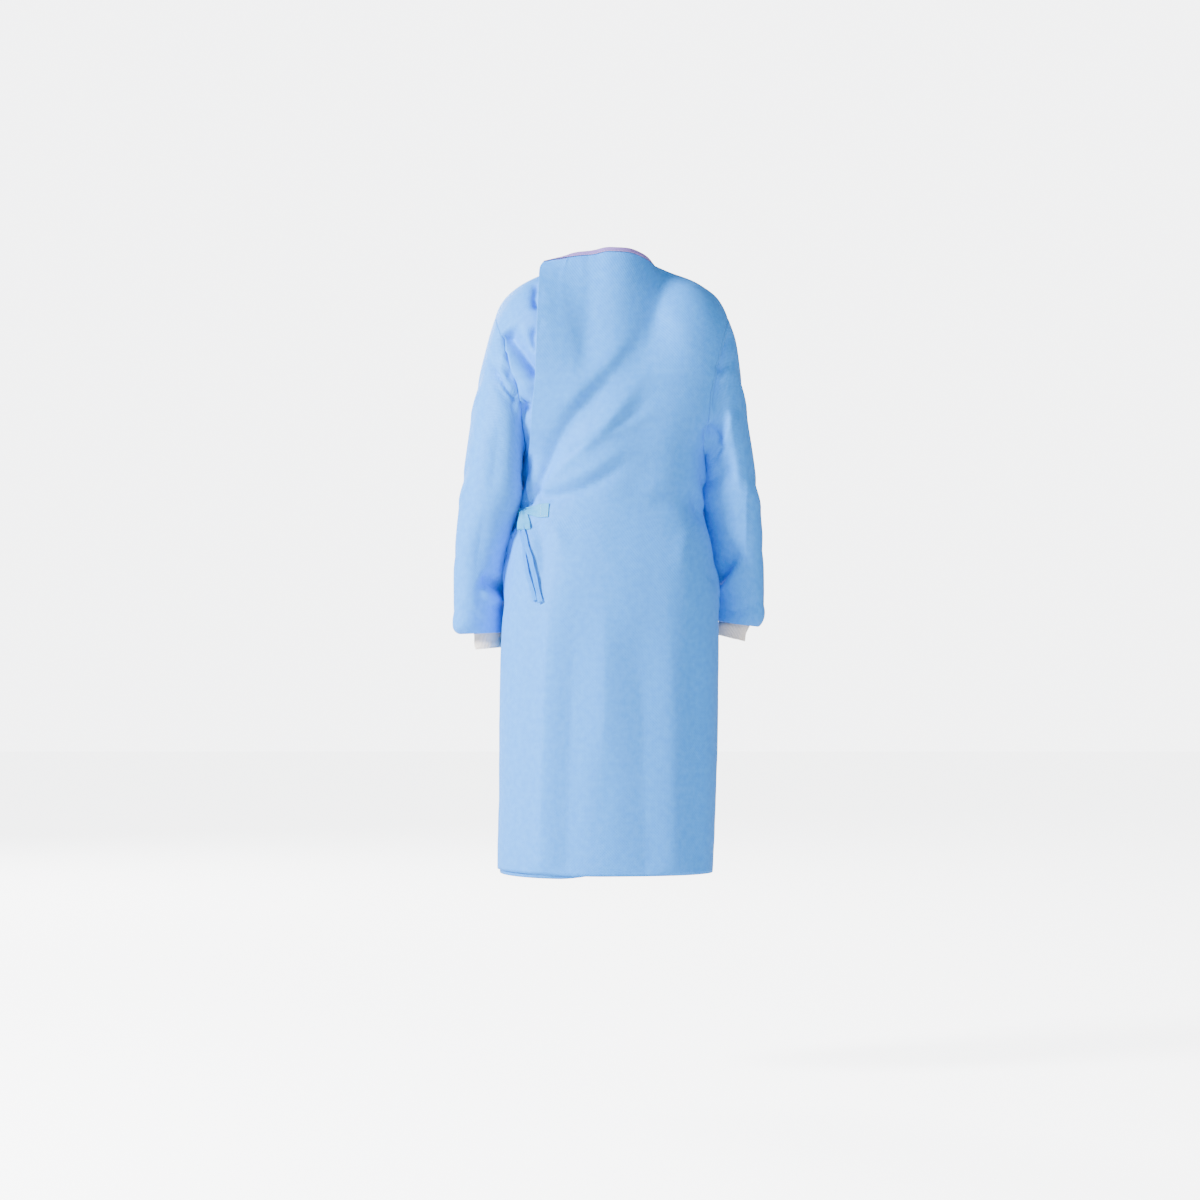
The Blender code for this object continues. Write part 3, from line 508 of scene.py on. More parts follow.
RIGHT_SLEEVE = (
    (0.209, -0.004, -0.086, 0.165, -0.004, -0.330, 0.075),
    (0.223, -0.003, -0.125, 0.1675, -0.014, -0.335, 0.073),
    (0.232, -0.003, -0.185, 0.1670, -0.028, -0.344, 0.070),
    (0.243, -0.003, -0.260, 0.1640, -0.041, -0.359, 0.067),
    (0.255, -0.005, -0.335, 0.1600, -0.051, -0.381, 0.064),
    (0.265, -0.008, -0.405, 0.1530, -0.059, -0.415, 0.061),
    (0.272, -0.018, -0.465, 0.1610, -0.069, -0.462, 0.058),
    (0.275, -0.030, -0.525, 0.1730, -0.075, -0.520, 0.055),
    (0.2765, -0.040, -0.580, 0.1800, -0.078, -0.572, 0.053),
    (0.2785, -0.046, -0.612, 0.1820, -0.082, -0.600, 0.051),
    (0.2745, -0.050, -0.630, 0.1835, -0.082, -0.616, 0.047),
    (0.2660, -0.054, -0.6400, 0.1870, -0.080, -0.6260, 0.040),
    (0.2590, -0.057, -0.6340, 0.1920, -0.078, -0.6200, 0.033),
    (0.2540, -0.058, -0.6230, 0.1985, -0.077, -0.6090, 0.028),
)
ARMHOLE_COUNT = TOP_ROWS + ARMHOLE_ROWS + 1
RINGS_A_STATION = 10
ARMHOLE_STATIONS = 4.0


def sleeve_rings(table, side, back_edge, front_edge):
    """Rings of a sleeve, the first of them on the panels' own armhole edges."""
    armhole = np.concatenate([back_edge, front_edge[-2:0:-1]])
    turns = np.concatenate([
        np.linspace(0, math.pi / 2, TOP_ROWS + 1),
        np.linspace(math.pi / 2, math.pi, ARMHOLE_ROWS + 1)[1:],
    ])
    turns = np.concatenate([turns, -turns[-2:0:-1]])
    values = np.array(table)
    stations = np.linspace(0, len(table) - 1, (len(table) - 1) * RINGS_A_STATION + 1)
    rings = []
    for station in stations:
        ring = [through(np.arange(len(table)), values[:, c], station) for c in range(values.shape[1])]
        outer_point = np.array(ring[0:3]) * (side, 1, 1)
        inner_point = np.array(ring[3:6]) * (side, 1, 1)
        arm = (outer_point - inner_point) / 2
        points = inner_point + arm + np.cos(turns)[:, None] * arm
        points[:, 1] += ring[6] * np.sin(turns)
        rings.append(points)
    grid = np.array(rings)
    return grid + (armhole - grid[0]) * (1 - smoothstep(stations / ARMHOLE_STATIONS))[:, None, None]


left_sleeve = sleeve_rings(LEFT_SLEEVE, 1.0, inner[:ARMHOLE_COUNT, 0], front[:ARMHOLE_COUNT, 0])
right_sleeve = sleeve_rings(RIGHT_SLEEVE, -1.0, outer[:ARMHOLE_COUNT, 0], front[:ARMHOLE_COUNT, -1])
print("sleeves", left_sleeve.shape, right_sleeve.shape)

# %% [markdown]
# Folds are pushed out along the cloth's normals. Sewn edges share theirs, so that a fold runs on
# over a seam and no gap opens there.

# %% Normals, shared along the seams
def normals_of(grid, closed):
    """Unit normals of a grid, pointing out of the cloth's outer face."""
    if closed:
        padded = np.concatenate([grid[:, -1:], grid, grid[:, :1]], axis=1)
        across = padded[:, 2:] - padded[:, :-2]
        centre = grid.mean(axis=1, keepdims=True)
    else:
        across = np.gradient(grid, axis=1)
        centre = np.zeros_like(grid)
        centre[:, :, 2] = np.minimum(grid[:, :, 2], CHEST_Z)
    found = unit(np.cross(across, np.gradient(grid, axis=0)))
    return found if (found * (grid - centre)).sum() > 0 else -found


def share_normals(first, second, least=-0.9):
    """Gives two sewn edges one set of normals, where they agree at least so much."""
    agree = (first * second).sum(axis=-1) > least
    both = unit(first + second)
    first[agree] = both[agree]
    second[agree] = both[agree]


PIECES = {
    "front_panel": {"grid": front, "closed": False},
    "outer_back_panel": {"grid": outer, "closed": False},
    "inner_back_panel": {"grid": inner, "closed": False},
    "left_sleeve": {"grid": left_sleeve, "closed": True},
    "right_sleeve": {"grid": right_sleeve, "closed": True},
}
for piece in PIECES.values():
    piece["normals"] = normals_of(piece["grid"], piece["closed"])

SHOULDER = SHOULDER_COLUMNS + 1
PANELS = ("front_panel", "outer_back_panel", "inner_back_panel")
front_n, outer_n, inner_n = [PIECES[name]["normals"] for name in PANELS]
share_normals(front_n[:, -1], outer_n[:, 0])
share_normals(front_n[:, 0], inner_n[:, 0])
share_normals(front_n[0, ::-1][:SHOULDER], outer_n[0, :SHOULDER])
share_normals(front_n[0, :SHOULDER], inner_n[0, :SHOULDER])
for sleeve, back_n, column in (("left_sleeve", inner_n, 0), ("right_sleeve", outer_n, -1)):
    ring = PIECES[sleeve]["normals"][0]
    share_normals(ring[:ARMHOLE_COUNT], back_n[:ARMHOLE_COUNT, 0], 0.2)
    share_normals(ring[ARMHOLE_COUNT:], front_n[:ARMHOLE_COUNT, column][-2:0:-1], 0.2)
print("normals shared")

# %% [markdown]
# ## Folds
#
# The folds are drawn as a dressmaker sees them. Each is a line on one view, back,
# front, left or right, with the height that it lifts the cloth, or sinks it, and a half width
# on either side, all in millimetres. The fades say over which share of its length it starts and
# ends. A gentle side and a steep side make it look like cloth that is pulled, and not like a
# wave. From the tie, long folds fan out over the back to the right shoulder, because the flap
# is pulled there, and the skirt below falls in wide, soft ones. Sleeves fold where they bend,
# and pile up above the cuff. The view called "under" is the back too, for folds behind the left
# shoulder that the flap hangs over and doesn't share. The sides that the photograph doesn't show
# get folds of the same kind.

# %% The table of folds
FOLD_COLUMNS = ("height", "half width", "other half width", "start fade", "end fade", "line")
FOLDS = {
    "back": (
        (-9.8, 30, 16, 0.04, 0.6, ((133, -412), (98.5, -322.2), (62.7, -261.3), (26.9, -222), (-9, -189.7),
         (-60.9, -71.6))),
        (-8.6, 12, 10, 0.06, 0.55, ((144, -425), (133, -395), (120, -365), (102, -332), (86, -308))),
        (6, 12, 26, 0.3, 0.5, ((95, -285), (84.1, -257.8), (41.2, -211.2), (5.4, -175.4), (-30.4, -136),
         (-62.7, -58))),
        (7.2, 12, 24, 0.06, 0.4, ((128, -405), (109.2, -375.9), (62.7, -332.9), (19.7, -297.1),
         (-16.1, -254.2), (-44.8, -214.8), (-80.6, -168.3))),
        (-5.2, 16, 9, 0.25, 0.4, ((105, -362), (91.3, -343.7), (44.8, -314.3), (12.5, -297.1),
         (-30.4, -268.5), (-66.2, -239.9), (-100, -218))),
        (5, 10, 17, 0.35, 0.4, ((70, -330), (34, -307.9), (-30.4, -282.8), (-70, -261.3), (-100, -248))),
        (-6, 14, 10, 0.06, 0.5, ((130, -414), (98.5, -408.1), (55.5, -397.4), (19.7, -379.5),
         (-16.1, -354.4), (-60, -330))),
        (4.5, 11, 14, 0.06, 0.5, ((125, -398), (90, -385), (45, -366), (5, -342), (-40, -315))),
        (2.2, 14, 18, 0.4, 0.5, ((-30, -400), (-80, -392), (-140, -396))),
        (-2.4, 12, 16, 0.3, 0.5, ((-60, -425), (-110, -418), (-160, -430))),
        (8, 16, 44, 0.3, 0.04, ((95, -490), (105.6, -612.2), (115, -800), (121.7, -1080))),
        (-6.2, 34, 28, 0.45, 0.04, ((62, -560), (70, -760), (80, -1080))),
        (5.2, 22, 34, 0.4, 0.35, ((15, -540), (10.7, -640), (10.7, -769.7), (18, -930))),
        (-3.8, 34, 30, 0.4, 0.04, ((-45, -600), (-56, -800), (-62, -1080))),
        (3.8, 24, 36, 0.4, 0.04, ((-98, -540), (-108, -760), (-112, -1080))),
        (-3.4, 22, 22, 0.3, 0.1, ((-145, -660), (-150, -840), (-148, -1080))),
        (-7, 12, 11, 0.45, 0.45, ((-144, -395), (-155.6, -429.7), (-158, -465))),
        (3, 13, 18, 0.4, 0.5, ((-150, -450), (-125, -495), (-118, -560))),
        (6, 10, 20, 0.08, 0.6, ((148, -455), (140, -500), (142, -570), (150, -660))),
        (-5.6, 10, 14, 0.06, 0.6, ((135, -450), (122, -480), (118, -530), (125, -600))),
        (4, 10, 14, 0.08, 0.6, ((118, -452), (95, -475), (75, -520))),
        (-2.2, 18, 22, 0.4, 0.5, ((-55, -45), (-85, -120), (-120, -200))),
        (2.4, 16, 22, 0.3, 0.5, ((-80, -35), (-120, -105), (-155, -190))),
        (-2.6, 6, 8, 0.3, 0.4, ((121, -49), (129, -60), (136, -74))),
        (-2.2, 6, 7, 0.3, 0.4, ((120, -98), (128, -111), (136, -123))),
        (-5, 16, 22, 0.3, 0.4, ((200, -270), (205, -340), (215, -420))),
        (3, 14, 20, 0.35, 0.45, ((238, -260), (245, -350), (248, -460))),
        (-3.6, 14, 18, 0.4, 0.4, ((225, -430), (235, -500), (242, -560))),
        (-19, 18, 11, 0.35, 0.2, ((230, -544), (215, -558), (195, -566), (180, -564))),
        (10, 9, 18, 0.35, 0.25, ((235, -572), (215, -585), (195, -590), (180, -590))),
        (-4, 10, 12, 0.35, 0.4, ((278, -600), (260, -608), (240, -618), (220, -632))),
        (3, 10, 10, 0.35, 0.4, ((270, -575), (250, -590), (230, -598))),
        (-5, 6, 9, 0.25, 0.3, ((-188, -188), (-195.1, -182.6), (-209.4, -171.8), (-225, -160))),
        (3.8, 8, 12, 0.3, 0.3, ((-185, -205), (-201, -196), (-220, -182))),
        (-10, 4, 14, 0.12, 0.25, ((-214.4, -108.3), (-192.8, -180.3), (-180, -260))),
        (-15, 14, 9, 0.2, 0.2, ((-170.1, -276.4), (-190, -302), (-195.1, -316), (-184, -333),
         (-170.1, -350.8))),
        (10, 7, 16, 0.25, 0.3, ((-210.3, -245), (-207.6, -284.6), (-204.1, -302.5), (-191.5, -320.4),
         (-175.4, -345.5))),
        (6.6, 10, 22, 0.3, 0.45, ((-208, -250), (-218, -320), (-230, -390), (-241.7, -447.5))),
        (-3, 12, 14, 0.35, 0.45, ((-198, -350), (-208, -420), (-220, -500))),
        (1.6, 4.5, 4.5, 0.25, 0.25, ((-240, -340), (-240.8, -430), (-240.8, -519.1))),
        (-13, 19, 12, 0.55, 0.2, ((-232, -498), (-218, -522), (-202, -545), (-185, -570))),
        (8.5, 9, 18, 0.45, 0.25, ((-234, -510), (-222, -533), (-206, -557), (-189.7, -580))),
        (-3.6, 10, 12, 0.35, 0.4, ((-270, -590), (-250, -602), (-225, -606))),
    ),
    "under": (
        (-23, 7, 20, 0.1, 0.08, ((194, -113), (181, -133), (160, -160), (130, -200))),
        (9, 7, 16, 0.25, 0.2, ((205, -145), (185, -170), (164, -195), (136, -230))),
        (-4, 6, 10, 0.35, 0.35, ((170, -110), (162, -133), (154, -160))),
        (-18, 14, 5, 0.1, 0.1, ((219, -175), (198, -199), (184, -217), (160, -238), (135, -256))),
        (8, 5, 16, 0.25, 0.15, ((220, -186), (198, -209), (180, -229), (156, -250))),
        (-10, 8, 5, 0.2, 0.2, ((130, -24), (135, -50), (131, -80))),
        (-11, 8, 5, 0.2, 0.2, ((132, -105), (138.5, -125), (134, -152))),
    ),
    "front": (
        (-8.5, 20, 14, 0.35, 0.45, ((-150, -190), (-105, -250), (-50, -320), (0, -370))),
        (6.1, 14, 20, 0.35, 0.45, ((-150, -150), (-90, -215), (-35, -285), (20, -345))),
        (-7.5, 18, 13, 0.35, 0.4, ((155, -190), (120, -240), (80, -320), (60, -400))),
        (5.8, 13, 18, 0.35, 0.4, ((145, -150), (100, -215), (50, -290), (30, -370))),
        (-8.8, 15, 11, 0.15, 0.5, ((158, -430), (110, -398), (50, -362), (-30, -335))),
        (7.8, 11, 17, 0.15, 0.5, ((156, -418), (112, -376), (60, -330), (10, -280))),
        (6.1, 11, 14, 0.15, 0.5, ((158, -442), (105, -424), (40, -405), (-20, -395))),
        (-5.8, 12, 14, 0.2, 0.55, ((160, -452), (115, -462), (80, -495), (60, -560))),
        (6.8, 12, 18, 0.2, 0.55, ((163, -460), (140, -500), (120, -570), (118, -660))),
        (-6.8, 14, 14, 0.35, 0.45, ((-160, -410), (-110, -398), (-60, -400))),
        (5.4, 13, 16, 0.35, 0.45, ((-158, -385), (-115, -372), (-50, -378))),
        (9.3, 26, 40, 0.4, 0.06, ((-60, -500), (-82, -760), (-95, -1080))),
        (-8.8, 34, 30, 0.4, 0.06, ((10, -520), (22, -760), (30, -1080))),
        (8.5, 24, 38, 0.35, 0.06, ((85, -520), (110, -760), (125, -1080))),
        (-5.8, 30, 34, 0.4, 0.06, ((-130, -560), (-145, -800), (-150, -1080))),
        (-4.4, 18, 22, 0.4, 0.5, ((-30, -90), (-40, -180), (-20, -270))),
        (4.1, 18, 22, 0.4, 0.5, ((35, -100), (50, -190), (30, -280))),
        (-10.2, 10, 14, 0.25, 0.25, ((205, -120), (180, -165), (150, -215), (135, -250))),
        (7.6, 9, 13, 0.25, 0.3, ((215, -160), (190, -205), (165, -245))),
        (-10.2, 10, 13, 0.25, 0.25, ((-205, -115), (-185, -160), (-155, -215), (-140, -255))),
        (7.5, 9, 13, 0.25, 0.3, ((-220, -150), (-195, -200), (-170, -245))),
        (-11.9, 13, 10, 0.3, 0.35, ((255, -350), (225, -372), (190, -385))),
        (8.5, 10, 14, 0.3, 0.35, ((262, -375), (235, -400), (200, -415))),
        (-9.5, 12, 10, 0.3, 0.35, ((262, -430), (235, -455), (205, -462))),
        (-8, 19, 16, 0.4, 0.3, ((-258, -345), (-222, -370), (-180, -405))),
        (8.5, 10, 14, 0.3, 0.35, ((-260, -395), (-230, -415), (-195, -430))),
        (-6.2, 18, 16, 0.4, 0.3, ((-268, -450), (-236, -475), (-195, -512))),
        (-8.5, 12, 12, 0.3, 0.35, ((275, -575), (245, -590), (215, -590))),
        (-5.8, 16, 16, 0.4, 0.3, ((-275, -545), (-242, -568), (-205, -590))),
    ),
    "left": (
        (-5, 14, 11, 0.35, 0.4, ((50, -150), (20, -205), (-30, -240))),
        (4.4, 12, 16, 0.35, 0.4, ((55, -195), (15, -250), (-35, -280))),
        (-6, 13, 11, 0.35, 0.4, ((60, -330), (15, -375), (-40, -385))),
        (4.8, 11, 15, 0.35, 0.4, ((55, -370), (10, -410), (-45, -420))),
        (-4.4, 12, 14, 0.35, 0.4, ((30, -490), (-20, -520), (-65, -515))),
        (-4, 10, 12, 0.35, 0.4, ((20, -590), (-20, -612), (-60, -608))),
    ),
    "right": (
        (-5, 14, 11, 0.35, 0.4, ((50, -140), (10, -200), (-40, -230))),
        (4.4, 12, 16, 0.35, 0.4, ((50, -190), (5, -240), (-45, -275))),
        (-6, 13, 11, 0.35, 0.4, ((45, -350), (0, -385), (-55, -395))),
        (4.8, 11, 15, 0.35, 0.4, ((45, -385), (-5, -420), (-55, -432))),
        (-4.4, 12, 14, 0.35, 0.4, ((10, -480), (-35, -510), (-80, -510))),
        (-4, 10, 12, 0.35, 0.4, ((0, -585), (-40, -600), (-85, -590))),
    ),
}
print("folds", sum(len(rows) for rows in FOLDS.values()))

# %% [markdown]
# One function reads the table. For each fold it measures how far every point of a piece lies
# from the line, and on which side, and lifts the point by a bell of that width. Where the cloth
# turns away from the view the fold fades, so a fold of the back never reaches the front. Close
# to the tie the folds are pinched narrower, as the knot gathers them.
#
# Three more things shape the cloth. A faint layer of noise stands for the slack that no one
# would draw, and it is stretched upright, as cloth hangs. The body has spare cloth that bulges
# at the waist beside the arms. And a sleeve's folds are held back where it would cut into the
# body, and along its outer edge, which the photograph shows nearly smooth.

# %% Laying the folds
MILLIMETRE = 0.001
VIEWS = {
    "back": ((0, 2), (0.0, 1.0, 0.0)),
    "under": ((0, 2), (0.0, 1.0, 0.0)),
    "front": ((0, 2), (0.0, -1.0, 0.0)),
    "left": ((1, 2), (1.0, 0.0, 0.0)),
    "right": ((1, 2), (-1.0, 0.0, 0.0)),
}
TIE_POINT = (0.147, -0.436)
PINCH = 0.35
PINCH_REACH = 0.11
FACING_FADE = 0.45
CREASE_POWER = 1.55
SLACK_COLUMNS = ("wavelength", "height", "upright stretch")
SLACK = ((0.150, 0.0030, 2.6), (0.065, 0.0012, 1.8), (0.030, 0.0005, 1.2))
UNDERARMS = ((0.153, -0.004, -0.330), (-0.165, -0.004, -0.330))
UNDERARM_QUIET = 0.055
OUTLINE_QUIET = 0.55
PAST_SEAM_ROWS = 8
ARM_OFF_BODY_Z = -0.220
ARM_FADE = 0.06
CUFF_OFF_BODY_Z = -0.545
CUFF_FADE = 0.03
RIDGES_HELD = 0.8
TROUGHS_HELD = 0.25
FULLNESS_COLUMNS = ("side", "height", "middle y", "half y", "middle z", "half z")
FULLNESS = (
    (1, 0.018, -0.021, 0.028, -0.440, 0.130),
    (-1, 0.010, -0.020, 0.030, -0.375, 0.050),
    (-1, 0.008, -0.030, 0.030, -0.570, 0.040),
)


def beside_line(flat, line):
    """For each point: its distance from a line, the place on it from 0 to 1, and its side."""
    lengths = distances(line)
    nearest = np.full(flat.shape[:-1], np.inf)
    place = np.zeros_like(nearest)
    across = np.zeros_like(nearest)
    for start, end, length, next_length in zip(line[:-1], line[1:], lengths[:-1], lengths[1:]):
        step = next_length - length
        run = (end - start) / step
        held = np.clip((flat - start) @ run, 0.0, step)
        offset = flat - start - held[..., None] * run
        away = np.linalg.norm(offset, axis=-1)
        closer = away < nearest
        nearest = np.where(closer, away, nearest)
        place = np.where(closer, (length + held) / lengths[-1], place)
        across = np.where(closer, offset[..., 1] * run[0] - offset[..., 0] * run[1], across)
    return nearest, place, across


def fold_heights(points, normals, outermost):
    """How far the folds push each point out. The outermost piece takes none from "under"."""
    pushed = np.zeros(points.shape[:-1])
    for view, (axes, towards) in VIEWS.items():
        if view == "under" and outermost:
            continue
        flat = points[..., axes]
        facing = smoothstep((normals @ np.array(towards)) / FACING_FADE)
        pinch = 1.0
        if view in ("back", "front"):
            from_tie = np.linalg.norm(flat - np.array(TIE_POINT), axis=-1)
            pinch = PINCH + (1 - PINCH) * smoothstep(from_tie / PINCH_REACH)
        for height, width, other_width, start_fade, end_fade, line in FOLDS[view]:
            nearest, place, across = beside_line(flat, np.array(line) * MILLIMETRE)
            widths = np.where(across > 0, width, other_width) * pinch * MILLIMETRE
            bell = np.exp(-((nearest / widths) ** CREASE_POWER))
            ends = smoothstep(place / start_fade) * smoothstep((1.0 - place) / end_fade)
            pushed += height * MILLIMETRE * bell * ends * facing
    return pushed


def slack_heights(points):
    """The faint unevenness of hanging cloth, the same on each run."""
    flat = points.reshape(-1, 3)
    total = np.zeros(len(flat))
    for wavelength, height, stretch in SLACK:
        scaled = flat / wavelength / (1.0, 1.0, stretch)
        total += height * np.array([noise.noise(Vector(point)) for point in scaled])
    return total.reshape(points.shape[:-1])


def quiet_near_underarm(points):
    """0 in the corner of an underarm, where sleeve and body lie against each other."""
    away = [np.linalg.norm(points - np.array(corner), axis=-1) for corner in UNDERARMS]
    return smoothstep(np.minimum(*away) / UNDERARM_QUIET - 0.2)


def side_fullness(points, normals):
    """The body's spare cloth, which bulges at the waist beside the arms."""
    total = np.zeros(points.shape[:-1])
    for side, height, middle_y, half_y, middle_z, half_z in FULLNESS:
        across = np.exp(-(((points[..., 1] - middle_y) / half_y) ** 2))
        upright = np.exp(-(((points[..., 2] - middle_z) / half_z) ** 4))
        total += height * across * upright * smoothstep(side * normals[..., 0] / 0.6)
    return total


def hold_back(heights, grid, normals, side):
    """A sleeve's folds, held back towards the body and along the sleeve's outer edge."""
    past_seam = smoothstep(np.arange(len(grid)) / PAST_SEAM_ROWS)[:, None]
    below_armhole = smoothstep((ARM_OFF_BODY_Z - grid[..., 2]) / ARM_FADE)
    above_cuff = smoothstep((grid[..., 2] - CUFF_OFF_BODY_Z) / CUFF_FADE)
    towards_body = smoothstep(-side * normals[..., 0] / 0.6 - 0.3) * below_armhole * above_cuff
    outline = smoothstep(side * normals[..., 0] / 0.5 - 0.9)
    kept_back = np.where(heights > 0, RIDGES_HELD, TROUGHS_HELD)
    heights = heights * (1.0 - kept_back * towards_body * past_seam)
    return heights * (1.0 - OUTLINE_QUIET * outline * past_seam)


for name, piece in PIECES.items():
    grid, normals = piece["grid"], piece["normals"]
    heights = fold_heights(grid, normals, name == "outer_back_panel") + slack_heights(grid)
    heights *= quiet_near_underarm(grid)
    if piece["closed"]:
        heights = hold_back(heights, grid, normals, 1.0 if name == "left_sleeve" else -1.0)
    else:
        heights += side_fullness(grid, normals)
    piece["grid"] = grid + normals * heights[..., None]
    print(name, "folds from", round(heights.min() * 1000, 1), "to", round(heights.max() * 1000, 1), "mm")

# %% [markdown]
# ## Laying the flap over
#
# The outer back lies on the inner one with a little air between, and its upper left corner
# stands off the shoulder, bound and stiff. Its hem ends a little higher than the inner one's,
# which shows below it as a curved tongue. A welded seam pulls the cloth in, so a shallow dip
# runs along every sewn edge. Folding moves a sleeve and its armhole a little apart, so last the
# sleeve's first rows are brought back onto the armhole.

# %% Flap, hems and seams
INNER_HEM_DROP = 0.005
OUTER_HEM_RISE = 0.006
HEM_DROP_REACH = 0.12
SEAM_DIP = 0.0008
SEAM_DIP_WIDTH = 0.0028
SEAM_DIP_ROWS = 7
ATTACH_ROWS = 12


def lay_over(grid, normals):
    """Moves the outer back off the inner one, and its upper left corner off the shoulder."""
    columns = grid.shape[1]
    across = np.linspace(0.0, 1.0, columns)
    raised = grid.copy()
    outs, heights, depths = zip(*OUTER_TOP)
    for i, row in enumerate(ROWS):
        part = top_part(row)
        layer = LAYER + (NECK_LAYER - LAYER) * part
        raised[i] += normals[i] * (layer * smoothstep((across - 0.22) / 0.25))[:, None]
        if part <= 0:
            continue
        for j in range(SHOULDER_COLUMNS, columns):
            share = grid[0, j, 0] / grid[0, -1, 0]
            if share <= 0:
                continue
            out = share * outs[-1]
            stand = EDGE_STAND * max(0.0, (out - FLAT_FROM) / (outs[-1] - FLAT_FROM))
            depth = through(outs, depths, out) + NECK_LAYER * (1 - share) + stand
            target = np.array([out, depth, through(outs, heights, out)])
            base = grid[0, j] + normals[0, j] * NECK_LAYER
            raised[i, j] += (target - base) * smoothstep(share * 4) * part ** 2
    return raised


def drop_hem(grid, drops):
    """Lowers the last rows of a piece, most at its hem."""
    near = smoothstep((HEM_Z + HEM_DROP_REACH - grid[..., 2]) / HEM_DROP_REACH)
    grid[..., 2] -= near * drops[None, :]


def dip(piece, edge):
    """Sinks the cloth along one sewn edge, given by the grid's axis and 0 or -1 for its end."""
    axis, index = edge
    lines = np.moveaxis(piece["grid"], axis, 0)
    facing = np.moveaxis(piece["normals"], axis, 0)
    if index == -1:
        lines, facing = lines[::-1], facing[::-1]
    away = np.zeros(lines.shape[1])
    for k in range(SEAM_DIP_ROWS):
        if k:
            away = away + np.linalg.norm(lines[k] - lines[k - 1], axis=-1)
        lines[k] -= facing[k] * (SEAM_DIP * np.exp(-((away / SEAM_DIP_WIDTH) ** 2)))[:, None]


outer_piece = PIECES["outer_back_panel"]
outer_piece["grid"] = lay_over(outer_piece["grid"], outer_piece["normals"])
soften(outer_piece["grid"], 20)
across = np.linspace(0.0, 1.0, PIECES["inner_back_panel"]["grid"].shape[1])
drop_hem(PIECES["inner_back_panel"]["grid"], INNER_HEM_DROP * np.sin(math.pi * np.clip(across * 1.15, 0, 1)))
across = np.linspace(0.0, 1.0, outer_piece["grid"].shape[1])
drop_hem(outer_piece["grid"], -OUTER_HEM_RISE * smoothstep((across - 0.4) / 0.5))

SEWN_EDGES = (
    ("front_panel", (1, 0)),
    ("front_panel", (1, -1)),
    ("outer_back_panel", (1, 0)),
    ("inner_back_panel", (1, 0)),
    ("left_sleeve", (0, 0)),
    ("right_sleeve", (0, 0)),
)
for name, edge in SEWN_EDGES:
    dip(PIECES[name], edge)


def attach(sleeve, back, column):
    """Brings the first rows of a sleeve exactly onto the armhole's folded edge."""
    front_edge = PIECES["front_panel"]["grid"][:ARMHOLE_COUNT, column]
    armhole = np.concatenate([PIECES[back]["grid"][:ARMHOLE_COUNT, 0], front_edge[-2:0:-1]])
    grid = PIECES[sleeve]["grid"]
    shift = armhole - grid[0]
    for row in range(ATTACH_ROWS):
        grid[row] += shift * (1 - smoothstep(row / ATTACH_ROWS))


attach("left_sleeve", "inner_back_panel", 0)
attach("right_sleeve", "outer_back_panel", -1)
print("outer back corner", np.round(outer_piece["grid"][0, -1], 3))

# %% [markdown]
# ## From grids to cloth
#
# Each grid becomes a mesh of four-sided faces. Its UV map holds the cloth's own metres, across
# and down, so that a pattern in the material keeps its true size however the cloth bends. A
# Solidify modifier then gives the sheet its thickness, inwards, because the grid is the outer
# face.

# %% Shells
CLOTH = 0.0006


def give_wall(made, thickness, offset=-1.0):
    """Gives a sheet its thickness, inwards from its outer face or, with offset 0, both ways."""
    wall = made.modifiers.new("wall", "SOLIDIFY")
    wall.thickness = thickness
    wall.offset = offset
    wall.use_even_offset = False


def grid_mesh(name, grid, closed, material, thickness=CLOTH):
    """An object from a grid of points, with a UV map in metres and a wall."""
    rows, columns = grid.shape[:2]
    last = columns if closed else columns - 1
    first = np.arange(rows - 1)[:, None] * columns + np.arange(last)[None, :]
    second = np.arange(rows - 1)[:, None] * columns + (np.arange(last)[None, :] + 1) % columns
    faces = np.stack([first, first + columns, second + columns, second], axis=-1).reshape(-1, 4)
    wide = np.linalg.norm(np.diff(grid, axis=1, append=grid[:, :1]), axis=2)
    long = np.linalg.norm(np.diff(grid, axis=0), axis=2).mean(axis=1)
    u = np.concatenate([np.zeros((rows, 1)), np.cumsum(wide, axis=1)], axis=1)
    if closed:
        u = np.broadcast_to(u.mean(axis=0), u.shape)
    else:
        u = u[:, :columns] - u[:, :columns].mean(axis=1, keepdims=True)
    v = -np.concatenate([[0.0], np.cumsum(long)])
    quad = grid[rows // 2, 0:2]
    drop = grid[rows // 2 + 1, 0] - quad[0]
    outwards = normals_of(grid, closed)[rows // 2, 0]
    corner_columns = (0, 0, 1, 1)
    if np.cross(drop, quad[1] - quad[0]) @ outwards < 0:
        faces = faces[:, ::-1]
        corner_columns = (1, 1, 0, 0)
    made = place_mesh(name, grid.reshape(-1, 3), faces=faces.tolist(), material=material)
    i = np.arange(rows - 1)[:, None, None] + np.array((0, 1, 1, 0))
    j = np.arange(last)[None, :, None] + np.array(corner_columns)
    us = u[i, j if closed else np.minimum(j, columns - 1)]
    vs = np.broadcast_to(v[i], us.shape)
    uv = made.data.uv_layers.new(name="cloth_metres")
    uv.data.foreach_set("uv", np.stack([us, vs], axis=-1).reshape(-1))
    made.data.shade_smooth()
    if thickness:
        give_wall(made, thickness)
    return made


def area_of(made):
    """The area of a piece's faces, before it has a wall."""
    return sum(polygon.area for polygon in made.data.polygons)


# %% [markdown]
# ## The cloth's material
#
# The blue cloth is SMS: a layer of melt-blown fibres between two layers of spunbond
# polypropylene, pressed together by a hot roller with rows of small points. What the eye gets is
# a matt, slightly silky blue, cloudy where the fibres lie uneven, with a faint grid of dimples.
# The real dimples are 1 mm wide and 2 mm apart, too fine to show from here, so they are drawn
# 3.6 mm apart.

